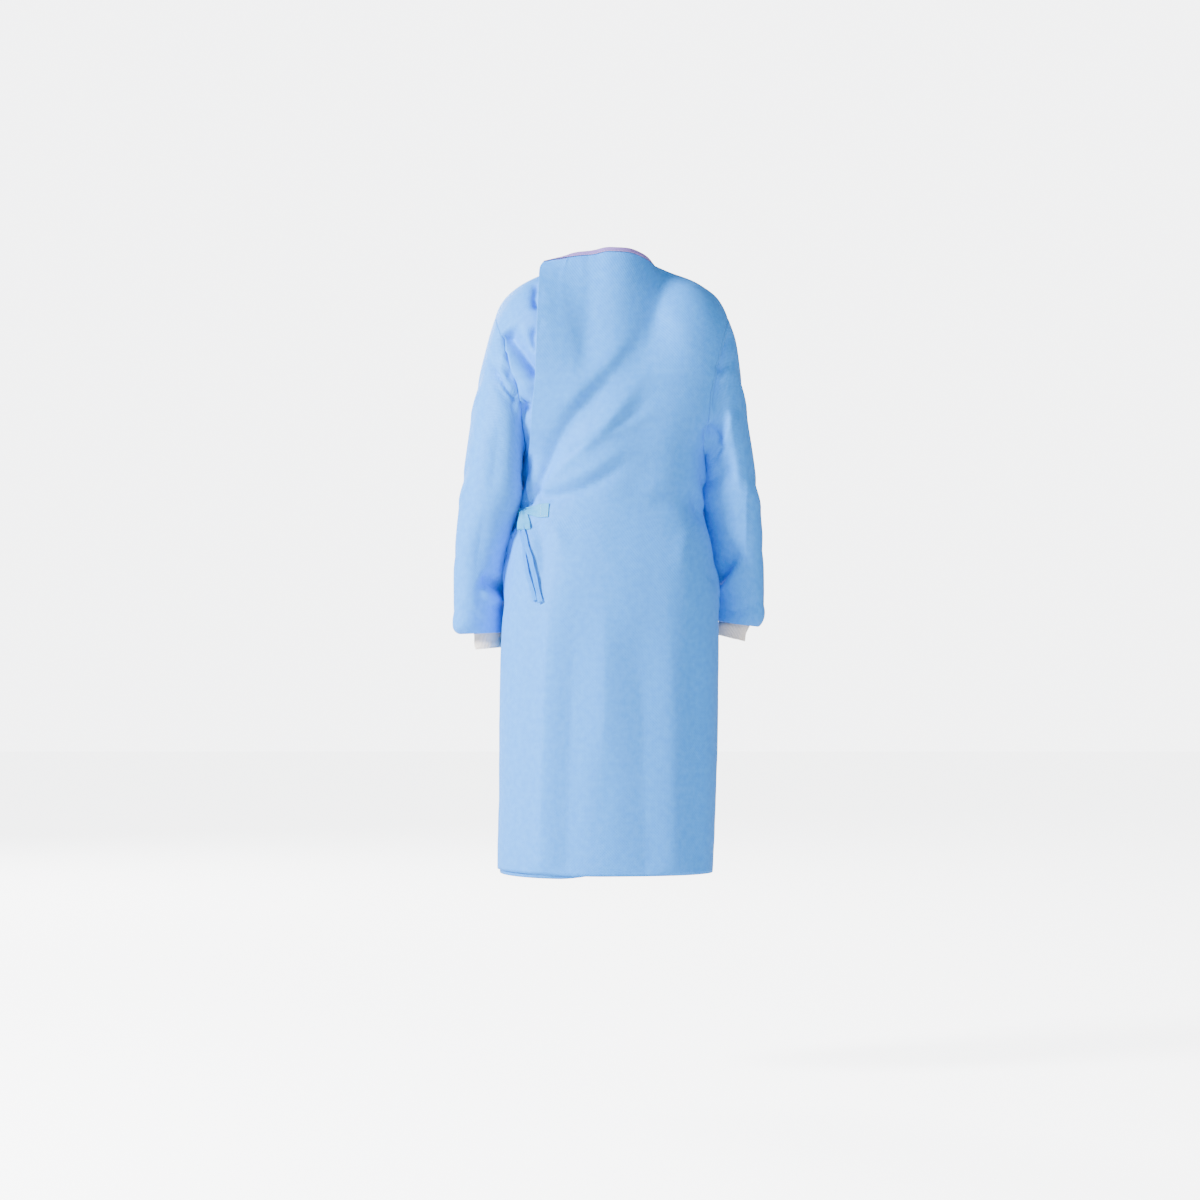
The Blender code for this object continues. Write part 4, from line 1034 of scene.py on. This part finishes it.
# %% Spunbond nonwoven
DIMPLE_PITCH = 0.0036
CLOUD_SIZE = 0.011
FIBRE_SIZE = 0.0012


def nonwoven(name, dark, light, roughness, dimple_depth):
    """Spunbond nonwoven: cloudy colour, a grid of pressed dimples with painted shade in them, and loose
    fibres.
    """
    material, tree, shader = new_material(name, {
        "IOR": 1.49, "Specular IOR Level": 0.22,
        "Sheen Weight": 0.06, "Sheen Roughness": 0.45, "Sheen Tint": colour("#DCEBFF")})
    cloth = add(tree, "ShaderNodeUVMap", {"uv_map": "cloth_metres"}).outputs["UV"]
    turned = add(tree, "ShaderNodeMapping", inputs={"Vector": cloth, "Rotation": (0, 0, math.radians(45))})
    dimples = add(tree, "ShaderNodeTexVoronoi", {"voronoi_dimensions": "2D"},
                  {"Vector": turned.outputs[0], "Scale": 1 / DIMPLE_PITCH, "Randomness": 0.0})
    pressed = add(tree, "ShaderNodeMapRange", {"interpolation_type": "SMOOTHSTEP"},
                  {"Value": dimples.outputs["Distance"], "From Min": 0.18, "From Max": 0.42})
    clouds = add(tree, "ShaderNodeTexNoise", {"noise_dimensions": "2D"},
                 {"Vector": cloth, "Scale": 1 / CLOUD_SIZE, "Detail": 5.0, "Roughness": 0.62})
    fibres = add(tree, "ShaderNodeTexNoise", {"noise_dimensions": "2D"}, {
        "Vector": cloth, "Scale": 1 / FIBRE_SIZE, "Detail": 3.0, "Roughness": 0.7, "Distortion": 1.4})
    spread = add(tree, "ShaderNodeMapRange", inputs={
        "Value": clouds.outputs["Fac"], "From Min": 0.3, "From Max": 0.7})
    base = add(tree, "ShaderNodeMix", {"data_type": "RGBA"},
               {"Factor": spread.outputs[0], "A": colour(dark), "B": colour(light)})
    # Painted shade: the cloth's colour is made up to 7 % darker in the pressed dimples.
    painted_recess_shade = add(tree, "ShaderNodeMapRange",
                inputs={"Value": pressed.outputs[0], "To Min": 0.93, "To Max": 1.0})
    base_with_painted_shade = add(tree, "ShaderNodeMix", {"data_type": "RGBA", "blend_type": "MULTIPLY"},
                 {"Factor": 1.0, "A": base.outputs["Result"], "B": painted_recess_shade.outputs[0]})
    tree.links.new(base_with_painted_shade.outputs["Result"], shader.inputs["Base Color"])
    rough = add(tree, "ShaderNodeMapRange", inputs={
        "Value": clouds.outputs["Fac"], "To Min": roughness - 0.06, "To Max": roughness + 0.06})
    tree.links.new(rough.outputs[0], shader.inputs["Roughness"])
    fuzz = add(tree, "ShaderNodeBump", inputs={
        "Strength": 0.25, "Distance": 0.0002, "Height": fibres.outputs["Fac"]})
    relief = add(tree, "ShaderNodeBump", inputs={
        "Strength": 0.6, "Distance": dimple_depth, "Height": pressed.outputs[0], "Normal": fuzz.outputs[0]})
    tree.links.new(relief.outputs[0], shader.inputs["Normal"])
    return material


blue_cloth = nonwoven("spunbond_blue", "#2B8CEC", "#3A99F4", 0.62, 0.00035)
print("material", blue_cloth.name)

# %% The five large pieces
MADE = {}
for name, piece in PIECES.items():
    MADE[name] = grid_mesh(name + "_cloth", piece["grid"], piece["closed"], blue_cloth)
    print(MADE[name].name, len(MADE[name].data.polygons), "faces,", round(area_of(MADE[name]), 3), "m2")

# %% [markdown]
# ## Knit cuffs
#
# The sleeve's full end is gathered on a narrow tube of rib knit, which grips the wrist under a
# glove. Rib knit is rows of loops that stand out and sink in turn, so it reads as fine upright
# ridges. A Geometry Nodes tree raises them: it takes each point's place round the tube, in
# metres, and moves it along its normal by a wave of the ribs' pitch. The tube itself sags a
# little into soft rolls, because knit is slack lengthways.

# %% Rib knit material
KNIT_PITCH = 0.0026
LOOP_HEIGHT = 0.0019
FLUFF_SIZE = 1 / 900


def rib_knit(name):
    """Cotton and polyester rib: matt, warm off-white, with painted shade in the valleys between the ribs, and
    rows of loops.
    """
    material, tree, shader = new_material(name, {
        "Roughness": 0.92, "Sheen Weight": 0.3, "Sheen Roughness": 0.6, "Specular IOR Level": 0.2})
    cloth = add(tree, "ShaderNodeUVMap", {"uv_map": "cloth_metres"}).outputs["UV"]
    rows = add(tree, "ShaderNodeMapping", inputs={
        "Vector": cloth, "Scale": (1 / KNIT_PITCH, 1 / LOOP_HEIGHT, 1.0)})
    loops = add(tree, "ShaderNodeTexWave", {"wave_type": "BANDS", "bands_direction": "Y"}, {
        "Vector": rows.outputs[0], "Scale": 0.318, "Distortion": 1.6, "Detail": 1.0, "Detail Scale": 1.0})
    fluff = add(tree, "ShaderNodeTexNoise", {"noise_dimensions": "2D"}, {
        "Vector": cloth, "Scale": 1 / FLUFF_SIZE, "Detail": 3.0})
    valley = add(tree, "ShaderNodeAttribute", {"attribute_name": "rib"})
    # Painted shade: the knit's colour goes from warm off-white on the ribs to a darker grey in the valleys
    # between them.
    painted_recess_shade = add(tree, "ShaderNodeMapRange", inputs={
        "Value": valley.outputs["Fac"], "From Min": -1.0, "From Max": 0.7})
    base = add(tree, "ShaderNodeMix", {"data_type": "RGBA"},
               {"Factor": painted_recess_shade.outputs[0], "A": colour("#BDB5AF"), "B": colour("#ECE4DC")})
    tree.links.new(base.outputs["Result"], shader.inputs["Base Color"])
    soft = add(tree, "ShaderNodeBump", inputs={
        "Strength": 0.3, "Distance": 0.0002, "Height": fluff.outputs["Fac"]})
    relief = add(tree, "ShaderNodeBump", inputs={
        "Strength": 0.5, "Distance": 0.0003, "Height": loops.outputs["Fac"], "Normal": soft.outputs[0]})
    tree.links.new(relief.outputs[0], shader.inputs["Normal"])
    return material


knit = rib_knit("rib_knit_white")

# %% The ribs' tree
RIB_DEPTH = 0.00045


def bake(made, tree, values):
    """Runs a tree on an object, keeps the mesh that it makes and takes the modifier off again."""
    modifier = made.modifiers.new("build", "NODES")
    modifier.node_group = tree
    sockets = {item.name: item.identifier for item in tree.interface.items_tree if item.in_out == "INPUT"}
    for name, value in values.items():
        modifier[sockets[name]] = value
    graph = bpy.context.evaluated_depsgraph_get()
    graph.update()
    mesh = bpy.data.meshes.new_from_object(made.evaluated_get(graph), depsgraph=graph)
    mesh.name = made.name
    made.modifiers.remove(modifier)
    made.data = mesh
    mesh.shade_smooth()
    return made


def new_tree(name, inputs):
    """An empty tree with a geometry going in and out, and the named inputs."""
    tree = bpy.data.node_groups.new(name, "GeometryNodeTree")
    tree.interface.new_socket("Geometry", in_out="INPUT", socket_type="NodeSocketGeometry")
    for label, kind in inputs:
        tree.interface.new_socket(label, in_out="INPUT", socket_type=kind)
    tree.interface.new_socket("Geometry", in_out="OUTPUT", socket_type="NodeSocketGeometry")
    return tree, add(tree, "NodeGroupInput").outputs


def end_tree(tree, geometry, material):
    """Closes a tree: instances made real, the material set, and the result handed out."""
    real = add(tree, "GeometryNodeRealizeInstances", inputs={"Geometry": geometry})
    worn = add(tree, "GeometryNodeSetMaterial", inputs={"Geometry": real.outputs[0], "Material": material})
    add(tree, "NodeGroupOutput", inputs={"Geometry": worn.outputs[0]})


ribs, given = new_tree("ribs", (
    ("Pitch", "NodeSocketFloat"), ("Depth", "NodeSocketFloat"), ("Material", "NodeSocketMaterial")))
place = add(ribs, "GeometryNodeInputNamedAttribute", {"data_type": "FLOAT"}, {"Name": "around"})
turns = add(ribs, "ShaderNodeMath", {"operation": "DIVIDE"}, {0: place.outputs[0], 1: given["Pitch"]})
angle = add(ribs, "ShaderNodeMath", {"operation": "MULTIPLY"}, {0: turns.outputs[0], 1: 2 * math.pi})
wave = add(ribs, "ShaderNodeMath", {"operation": "SINE"}, {0: angle.outputs[0]})
kept = add(ribs, "GeometryNodeStoreNamedAttribute", {"data_type": "FLOAT"},
           {"Geometry": given["Geometry"], "Name": "rib", "Value": wave.outputs[0]})
depth = add(ribs, "ShaderNodeMath", {"operation": "MULTIPLY"}, {0: wave.outputs[0], 1: given["Depth"]})
facing = add(ribs, "GeometryNodeInputNormal")
push = add(ribs, "ShaderNodeVectorMath", {"operation": "SCALE"}, {
    0: facing.outputs[0], "Scale": depth.outputs[0]})
ribbed = add(ribs, "GeometryNodeSetPosition", inputs={"Geometry": kept.outputs[0], "Offset": push.outputs[0]})
end_tree(ribs, ribbed.outputs[0], given["Material"])

# %% The cuffs
CUFF_ROWS = 44
CUFF_TOP = -0.010
CUFF_LOW = 0.044
CUFF_LEAN_IN = 0.002
CUFF_ROLLS = 0.0011
CUFF_WALL = 0.0011
CUFF_RIBS = 66
POINTS_A_RIB = 8


def cuff_grid(sleeve, side):
    """A tube from just inside the sleeve's end down to the wrist, with soft rolls."""
    end = sleeve[-1]
    middle = end.mean(axis=0)
    axis = unit(np.cross(end[0] - middle, end[len(end) // 4] - middle))
    axis *= -np.sign(axis[2])
    closed_end = np.concatenate([end, end[:1]])
    along = distances(closed_end)
    places = np.linspace(0.0, along[-1], CUFF_RIBS * POINTS_A_RIB, endpoint=False)
    spoke = read_path(places, along, closed_end) - middle
    radius = np.linalg.norm(spoke, axis=1, keepdims=True)
    turn = places / along[-1] * 2 * math.pi
    rows = []
    for down in np.linspace(CUFF_TOP, CUFF_LOW, CUFF_ROWS):
        narrow = 0.965 - 0.025 * smoothstep(down / 0.04)
        roll = CUFF_ROLLS * np.sin(down / 0.0052 + 1.3 * np.sin(turn + side))
        roll *= smoothstep(down / 0.01 + 0.6)
        lean = np.array([-side * CUFF_LEAN_IN * down / CUFF_LOW, 0.0, 0.0])
        rows.append(middle + spoke * (narrow + (roll / radius[:, 0]))[:, None] + axis * down + lean)
    return np.array(rows)


for name, side in (("left", 1.0), ("right", -1.0)):
    grid = cuff_grid(PIECES[name + "_sleeve"]["grid"], side)
    cuff = grid_mesh(name + "_cuff_knit", grid, True, knit, 0.0)
    around = cuff.data.attributes.new("around", "FLOAT", "POINT")
    share = np.arange(grid.shape[1]) / grid.shape[1] * CUFF_RIBS * KNIT_PITCH
    around.data.foreach_set("value", np.tile(share, grid.shape[0]))
    bake(cuff, ribs, {"Pitch": KNIT_PITCH, "Depth": RIB_DEPTH, "Material": knit})
    give_wall(cuff, CUFF_WALL)
    MADE[name + "_cuff"] = cuff
    print(cuff.name, len(cuff.data.polygons), "faces,", round(area_of(cuff), 4), "m2,", CUFF_RIBS, "ribs")

# %% [markdown]
# ## Bound neckline
#
# A raw edge of nonwoven would scratch and tear, so a narrow tape is folded over it and sewn
# down. It runs along the top of the outer back, round the front of the neck and along the top of
# the inner back. Its section is a long, thin arch over the cloth's edge. Tape that is bent
# edgeways puckers between the stitches, so its faces swell and sink a little.

# %% Binding tape
TAPE_LOW = -0.0032
TAPE_HIGH = 0.0050
TAPE_HALF = 0.0013
TAPE_PUCKER = 0.00035
TAPE_WALL = 0.0004
STITCH_PITCH = 0.0034


def tape(name):
    """Folded polyester tape: close, matt, pale lilac, with a fine cross rib."""
    material, tree, shader = new_material(name, {"Roughness": 0.8, "Sheen Weight": 0.15})
    cloth = add(tree, "ShaderNodeUVMap", {"uv_map": "cloth_metres"}).outputs["UV"]
    rib = add(tree, "ShaderNodeTexWave", {"wave_type": "BANDS", "bands_direction": "X"},
              {"Vector": cloth, "Scale": 350.0, "Distortion": 0.6})
    patches = add(tree, "ShaderNodeTexNoise", {"noise_dimensions": "2D"}, {
        "Vector": cloth, "Scale": 160.0, "Detail": 3.0})
    base = add(tree, "ShaderNodeMix", {"data_type": "RGBA"},
               {"Factor": patches.outputs["Fac"], "A": colour("#7C5FAF"), "B": colour("#8D72BC")})
    tree.links.new(base.outputs["Result"], shader.inputs["Base Color"])
    relief = add(tree, "ShaderNodeBump", inputs={
        "Strength": 0.4, "Distance": 0.0002, "Height": rib.outputs["Fac"]})
    tree.links.new(relief.outputs[0], shader.inputs["Normal"])
    return material


lilac = tape("lilac_binding_tape")

# %% The neckline's path
front_p, outer_p, inner_p = [PIECES[name] for name in PANELS]
neck_points = [(outer_p, j) for j in range(outer_p["grid"].shape[1] - 1, SHOULDER_COLUMNS - 1, -1)]
last_front = front_p["grid"].shape[1] - 1 - SHOULDER_COLUMNS
neck_points += [(front_p, j) for j in range(last_front - 1, SHOULDER_COLUMNS, -1)]
neck_points += [(inner_p, j) for j in range(SHOULDER_COLUMNS, inner_p["grid"].shape[1])]
edge = np.array([piece["grid"][0, j] - piece["normals"][0, j] * CLOTH / 2 for piece, j in neck_points])
facing = np.array([piece["normals"][0, j] for piece, j in neck_points])
below = np.array([piece["grid"][4, j] - piece["grid"][0, j] for piece, j in neck_points])


def smooth_along(values, times):
    """Evens out a list of vectors along a path, leaving its ends alone."""
    values = values.copy()
    for _ in range(times):
        values[1:-1] = (values[:-2] + 2 * values[1:-1] + values[2:]) / 4
    return values


edge = smooth_along(edge, 3)
facing = smooth_along(facing, 24)
way = unit(np.gradient(edge, axis=0))
up = np.cross(facing, way)
up *= -np.sign((up * below).sum(axis=1, keepdims=True))
up = unit(smooth_along(up, 12))
out = unit(np.cross(way, up))
out *= np.sign((out * facing).sum(axis=1, keepdims=True))
along = distances(edge)
print("neckline", round(along[-1], 3), "m")

# %% The tape
arch = [(TAPE_HALF, TAPE_LOW), (TAPE_HALF, -0.0005), (TAPE_HALF, 0.0022)]
for turn in np.linspace(0.0, math.pi, 7):
    arch.append((TAPE_HALF * math.cos(turn), TAPE_HIGH - TAPE_HALF + TAPE_HALF * math.sin(turn)))
arch += [(-TAPE_HALF, 0.0022), (-TAPE_HALF, -0.0005), (-TAPE_HALF, TAPE_LOW)]
steps = np.linspace(0.0, along[-1], 420)
path, ups, outs = [read_path(steps, along, values) for values in (edge, up, out)]
pucker = TAPE_PUCKER * np.sin(steps / STITCH_PITCH * math.pi + 1.5 * np.sin(steps * 90)) ** 2
sway = 0.0006 * np.sin(steps * 47) + 0.0004 * np.sin(steps * 131)
rows = []
for across, height in arch:
    swell = pucker * np.sign(across)
    rows.append(path + outs * (across + swell)[:, None] + ups * (height + sway)[:, None])
tape_grid = np.array(rows).transpose(1, 0, 2)
binding = grid_mesh("neck_binding_tape", tape_grid, False, lilac, 0.0)
give_wall(binding, TAPE_WALL)
MADE["neck_binding"] = binding
print("binding", round(area_of(binding), 4), "m2")

# %% [markdown]
# ## Stitches
#
# A stitch is a short length of thread that dips into the cloth at both ends. One Geometry Nodes
# tree sews them all: it turns a line into a curve, sets points on it one stitch apart, and puts
# a thin rounded thread on each, turned along the line.

# %% The stitch tree
def thread(name, code):
    """Polyester sewing thread: smooth, a little shiny."""
    return new_material(name, {"Base Color": colour(code), "Roughness": 0.45})[0]


lilac_thread = thread("lilac_thread", "#CFC4DC")
aqua_thread = thread("aqua_thread", "#C6E4F2")

sewing, given = new_tree("stitches", (
    ("Pitch", "NodeSocketFloat"), ("Length", "NodeSocketFloat"), ("Thickness", "NodeSocketFloat"),
    ("Material", "NodeSocketMaterial")))
line = add(sewing, "GeometryNodeMeshToCurve", inputs={"Mesh": given["Geometry"]})
spaced = add(sewing, "GeometryNodeResampleCurve", {"mode": "LENGTH"}, {
    "Curve": line.outputs[0], "Length": given["Pitch"]})
bead = add(sewing, "GeometryNodeMeshUVSphere", inputs={"Segments": 6, "Rings": 4, "Radius": 0.5})
size = add(sewing, "ShaderNodeCombineXYZ", inputs={
    "X": given["Thickness"], "Y": given["Thickness"], "Z": given["Length"]})
heading = add(sewing, "GeometryNodeInputTangent")
turned = add(sewing, "FunctionNodeAlignRotationToVector", {"axis": "Z"}, {"Vector": heading.outputs[0]})
sewn = add(sewing, "GeometryNodeInstanceOnPoints", inputs={
    "Points": spaced.outputs[0], "Instance": bead.outputs[0],
    "Rotation": turned.outputs[0], "Scale": size.outputs[0]})
end_tree(sewing, sewn.outputs[0], given["Material"])


def stitch(name, points, material, pitch=STITCH_PITCH, length=0.0026, thickness=0.00055):
    """Sews along a list of points."""
    made = place_mesh(name, points, lines=[(i, i + 1) for i in range(len(points) - 1)])
    return bake(made, sewing, {
        "Pitch": pitch, "Length": length, "Thickness": thickness, "Material": material})


seam_line = path + outs * (TAPE_HALF + 0.0001) + ups * (TAPE_LOW + 0.0011 + sway)[:, None]
STITCHES = {"neck_binding": [stitch("neck_binding_stitches", seam_line, lilac_thread)]}
print("stitches round the neck", len(STITCHES["neck_binding"][0].data.polygons) // 24)

# %% [markdown]
# ## Ties
#
# Each tie is a strip of nonwoven folded lengthwise, sewn to the gown with a small box of
# stitches. One starts on the flap, the other at the left side seam. They are tied once round
# each other into a bow with one loop, and both ends hang down over the hip. They lie on the
# folded cloth, so first a way is needed to find it: a ray is sent at the cloth from outside.

# %% Finding the cloth
from mathutils.bvhtree import BVHTree

AQUA_THICK = 0.0007


def tree_of(names):
    """A search tree over the outer faces of some pieces."""
    points, faces = [], []
    for name in names:
        mesh = MADE[name].data
        start = len(points)
        points += [tuple(v.co) for v in mesh.vertices]
        faces += [[start + v for v in polygon.vertices] for polygon in mesh.polygons]
    return BVHTree.FromPolygons(points, faces)


body_tree = tree_of(PANELS)


def on_cloth(base, normal, lift):
    """The place where a line from outside meets the cloth, lifted off it."""
    found, facing, _, _ = body_tree.ray_cast(Vector(base) + Vector(normal) * 0.06, -Vector(normal), 0.2)
    if found is None:
        found = Vector(base)
    return np.array(found) + np.asarray(normal) * lift


def base_at(around, height):
    """A place on the body's plain surface and the direction that it faces."""
    middle, beside, behind = body_row([around, around + 0.02, around - 0.02], ("level", height))
    lower = body_row([around], ("level", height - 0.01))[0]
    normal = unit(np.cross(beside - behind, lower - middle))
    return middle, normal * np.sign(normal @ (middle * (1, 1, 0)))


def tie_place(out, height, lift):
    """A place where ties lie, by its distance out from the middle, and the way it faces."""
    around = around_at(out, ("level", height))
    base, normal = base_at(around, height)
    return on_cloth(base, normal, lift), normal


# %% The strip's material, and strips
aqua_cloth = nonwoven("spunbond_aqua", "#148ECA", "#2A9FD8", 0.55, 0.0002)
aqua_ends = nonwoven("spunbond_aqua_tie_end", "#0078DC", "#1488E8", 0.55, 0.0002)


def strip(name, middles, facings, widths, material, pleats, pleat_count, columns):
    """A flat strip along a path, pleated lengthwise where it is gathered."""
    middles = np.array(middles)
    facings = np.array(facings)
    widths = np.array(widths, float)
    ways = unit(np.gradient(middles, axis=0))
    acrosses = unit(np.cross(ways, facings))
    outwards = np.cross(acrosses, ways)
    outwards *= np.sign((outwards * facings).sum(axis=1, keepdims=True))
    place = np.linspace(-1.0, 1.0, columns)
    height = pleats[:, None] * np.sin(place * pleat_count * math.pi + 0.6)[None, :]
    grid = (
        middles[:, None]
        + acrosses[:, None] * (place[None, :] * widths[:, None] / 2)[..., None]
        + outwards[:, None] * height[..., None]
    )
    made = grid_mesh(name, grid, False, material, 0.0)
    turned = made.data.polygons[len(made.data.polygons) // 2]
    if np.array(turned.normal) @ outwards[len(middles) // 2] < 0:
        made.data.flip_normals()
    give_wall(made, AQUA_THICK, 0.0)
    return made


# %% The tie fixed on the flap
TIE_Z = -0.433
PATCH_OUTS = (0.1075, 0.1480)
patch_steps = np.linspace(0.0, 1.0, 34)
patch_out = PATCH_OUTS[0] + (PATCH_OUTS[1] - PATCH_OUTS[0]) * patch_steps
gathering = smoothstep((patch_steps - 0.35) / 0.6)
patch_places = [tie_place(out, TIE_Z - 0.0015 * t, 0.0011 + 0.0040 * smoothstep((t - 0.55) / 0.45))
                for out, t in zip(patch_out, patch_steps)]
patch_middles, patch_facings = zip(*patch_places)
patch = strip("flap_tie_strip", patch_middles, patch_facings, 0.0255 - 0.0145 * gathering, aqua_cloth,
              pleats=0.0012 * gathering, pleat_count=2.5, columns=33)
MADE["flap_tie_patch"] = patch
box = [tie_place(out, height, 0.0018)[0] for out, height in (
    (0.1095, TIE_Z + 0.0108), (0.1215, TIE_Z + 0.0106), (0.1215, TIE_Z - 0.0108), (0.1095, TIE_Z - 0.0108),
    (0.1095, TIE_Z + 0.0108))]
STITCHES["flap_tie_patch"] = [stitch("flap_tie_stitches", box, aqua_thread, 0.0028, 0.0021, 0.00045)]
print("patch", round(area_of(patch) * 1e4, 1), "cm2")

# %% The tie from the side seam
side_steps = np.linspace(0.0, 1.0, 26)
side_middles, side_facings = [], []
for t in side_steps:
    base, normal = base_at(1.16 + (0.862 - 1.16) * t, TIE_Z - 0.0015 * t)
    side_middles.append(on_cloth(base, normal, 0.0012 + 0.0052 * smoothstep((t - 0.3) / 0.7)))
    side_facings.append(normal)
side_gather = smoothstep((side_steps - 0.45) / 0.55)
side_tie = strip("side_tie_strip", side_middles, side_facings, 0.0235 - 0.0125 * side_gather, aqua_cloth,
                 pleats=0.0011 * side_gather, pleat_count=2.2, columns=29)
MADE["side_tie"] = side_tie
print("side tie", round(area_of(side_tie) * 1e4, 1), "cm2")

# %% [markdown]
# The knot is strip wound tightly round strip. From outside it is a small lump with slanting
# ridges, and one band crosses it. Below it hang the loop, which is strip doubled back on itself,
# and the two ends, creased narrow where they were pulled through.

# %% Knot
KNOT_MIDDLE, KNOT_FACING = tie_place(0.1490, -0.4365, 0.0066)
KNOT_SIZE = (0.0175, 0.0095, 0.0150)
knot_across = unit(np.cross(KNOT_FACING, (0.0, 0.0, 1.0)))
knot_up = np.cross(knot_across, KNOT_FACING)
slopes = np.linspace(0.02, math.pi - 0.02, 34)
turns = np.linspace(0.0, 2 * math.pi, 56, endpoint=False)
slope, turn = np.meshgrid(slopes, turns, indexing="ij")
ridge = 0.07 * np.sin(5 * slope + 2.0 * np.sin(turn)) + 0.035 * np.sin(11 * slope - 3.0 * np.cos(turn))
band = 0.13 * np.exp(-(((np.cos(turn - 0.7) * np.sin(slope)) / 0.36) ** 2))
swell = 1.0 + ridge * np.sin(slope) + band
knot_grid = (
    KNOT_MIDDLE
    + (np.sin(slope) * np.cos(turn) * swell * KNOT_SIZE[0] / 2)[..., None] * knot_across
    + (np.sin(slope) * np.sin(turn) * swell * KNOT_SIZE[1] / 2)[..., None] * KNOT_FACING
    + (np.cos(slope) * (1 + 0.5 * band) * KNOT_SIZE[2] / 2)[..., None] * knot_up
)
knot = grid_mesh("tie_knot_wraps", knot_grid, True, aqua_cloth, 0.0)
MADE["tie_knot"] = knot
print("knot", [round(v, 4) for v in knot.dimensions])

# %% Loop
LOOP_SWING = 0.0030
LOOP_CLEAR = 0.0035
LOOP_FACING = np.array([0.30, 0.954, 0.0])
LOOP_TOP = (0.1565, -0.4318)
LOOP_LOW = (0.1538, -0.4640)


def loop_place(out, height):
    """The middle of the loop at a height, clear of the knot and of the cloth behind its inner edge."""
    inner_out = out - 0.0125
    cloth_y = tie_place(min(inner_out, 0.1440), height, LOOP_CLEAR)[0][1]
    depth = cloth_y - (out - inner_out) * LOOP_FACING[0] / LOOP_FACING[1]
    return np.array([out, max(depth, KNOT_MIDDLE[1] + 0.0062), height])


loop_heights = np.linspace(0.0, 1.0, 12)
line = np.array(LOOP_TOP) + (np.array(LOOP_LOW) - LOOP_TOP) * loop_heights[:, None]
hung = np.array([loop_place(out, height) for out, height in line])
hung[:, 1] = np.maximum.accumulate(hung[:, 1])
hung = smooth_along(hung, 8)
apart = LOOP_FACING * (0.0011 + (LOOP_SWING - 0.0011) * smoothstep(loop_heights))[:, None]
bend = np.linspace(0.0, math.pi, 12)[1:-1, None]
round_facing = LOOP_FACING * np.cos(bend) - np.array([0.0, 0.0, 1.0]) * np.sin(bend)
round_low = hung[-1] + LOOP_SWING * round_facing
loop_middles = np.concatenate([hung + apart, round_low, (hung - apart)[::-1]])
flat_facing = np.repeat(LOOP_FACING[None], len(hung), axis=0)
loop_facings = np.concatenate([flat_facing, round_facing, -flat_facing])
spread_out = 0.0145 + 0.0105 * smoothstep(loop_heights / 0.8)
loop_widths = np.concatenate([spread_out, np.full(len(bend), spread_out[-1]), spread_out[::-1]])
pinched = 0.0008 * (1 - smoothstep(loop_heights / 0.6))
loop_pleats = np.concatenate([pinched, np.zeros(len(bend)), pinched[::-1]])
loop = strip("tie_loop_strip", loop_middles, loop_facings, loop_widths, aqua_cloth,
             pleats=loop_pleats, pleat_count=1.5, columns=21)
MADE["tie_loop"] = loop
print("loop", round(area_of(loop) * 1e4, 1), "cm2")

# %% The two ends
END_ROWS = 60
END_TOP = (0.1530, -0.4560)
END_LOW = (0.1245, -0.5960)
END_COLUMNS = ("piece", "shift across", "width", "shorter by", "phase")
ENDS = (
    ("tie_end_long", -0.0046, 0.0102, 0.0, 0.4),
    ("tie_end_short", 0.0050, 0.0082, 0.003, 2.1),
)
for name, shift, width, shorter, phase in ENDS:
    t = np.linspace(0.0, 1.0, END_ROWS)
    sway = 0.0007 * np.sin(t * 9 + phase) + 0.0004 * np.sin(t * 23 + 2 * phase)
    out = END_TOP[0] + (END_LOW[0] - END_TOP[0]) * t + shift * (0.75 + 0.25 * t) + sway * smoothstep(t / 0.2)
    height = END_TOP[1] + (END_LOW[1] + shorter - END_TOP[1]) * t
    lift = 0.0032 + 0.0022 * (1 - smoothstep(t / 0.22)) + 0.0008 * np.sin(t * 14 + phase) ** 2
    middles, facings = zip(*[tie_place(*place) for place in zip(out, height, lift)])
    widths = width * (0.86 + 0.14 * smoothstep(t / 0.3))
    end = strip(name + "_strip", smooth_along(np.array(middles), 6), facings, widths, aqua_ends,
                pleats=0.0007 * (1 - 0.6 * t), pleat_count=1.5, columns=13)
    MADE[name] = end
    print(name, round(area_of(end) * 1e4, 1), "cm2")

# %% [markdown]
# ## Each cloth piece and its cut
#
# Last, every piece takes the place of its plain model and hangs from the body's root. For each
# of the five large pieces the widest and longest run of its cloth is printed, and for every
# piece the area of its cloth. A tube's width is measured all the way round. The knot is strip
# wound into a lump, so it has no flat size of its own.

# %% Finish
CUT_COLUMNS = ("width", "length", "flat area", "held", "rests on")
for name, made in MADE.items():
    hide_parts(name)
    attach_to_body(made, "root")
for name, extra in STITCHES.items():
    for made in extra:
        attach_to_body(made, "root")
for name, piece in PIECES.items():
    grid = piece["grid"]
    close = grid[:, :1] if piece["closed"] else grid[:, -1:]
    wide = np.linalg.norm(np.diff(grid, axis=1, append=close), axis=2).sum(axis=1).max()
    long = np.linalg.norm(np.diff(grid, axis=0), axis=2).sum(axis=0).max()
    print(name, "widest", round(wide, 3), "m, longest", round(long, 3), "m")
for name, made in MADE.items():
    print(name, "area", round(area_of(made), 5), "m2, triangles", len(made.data.polygons) * 4)
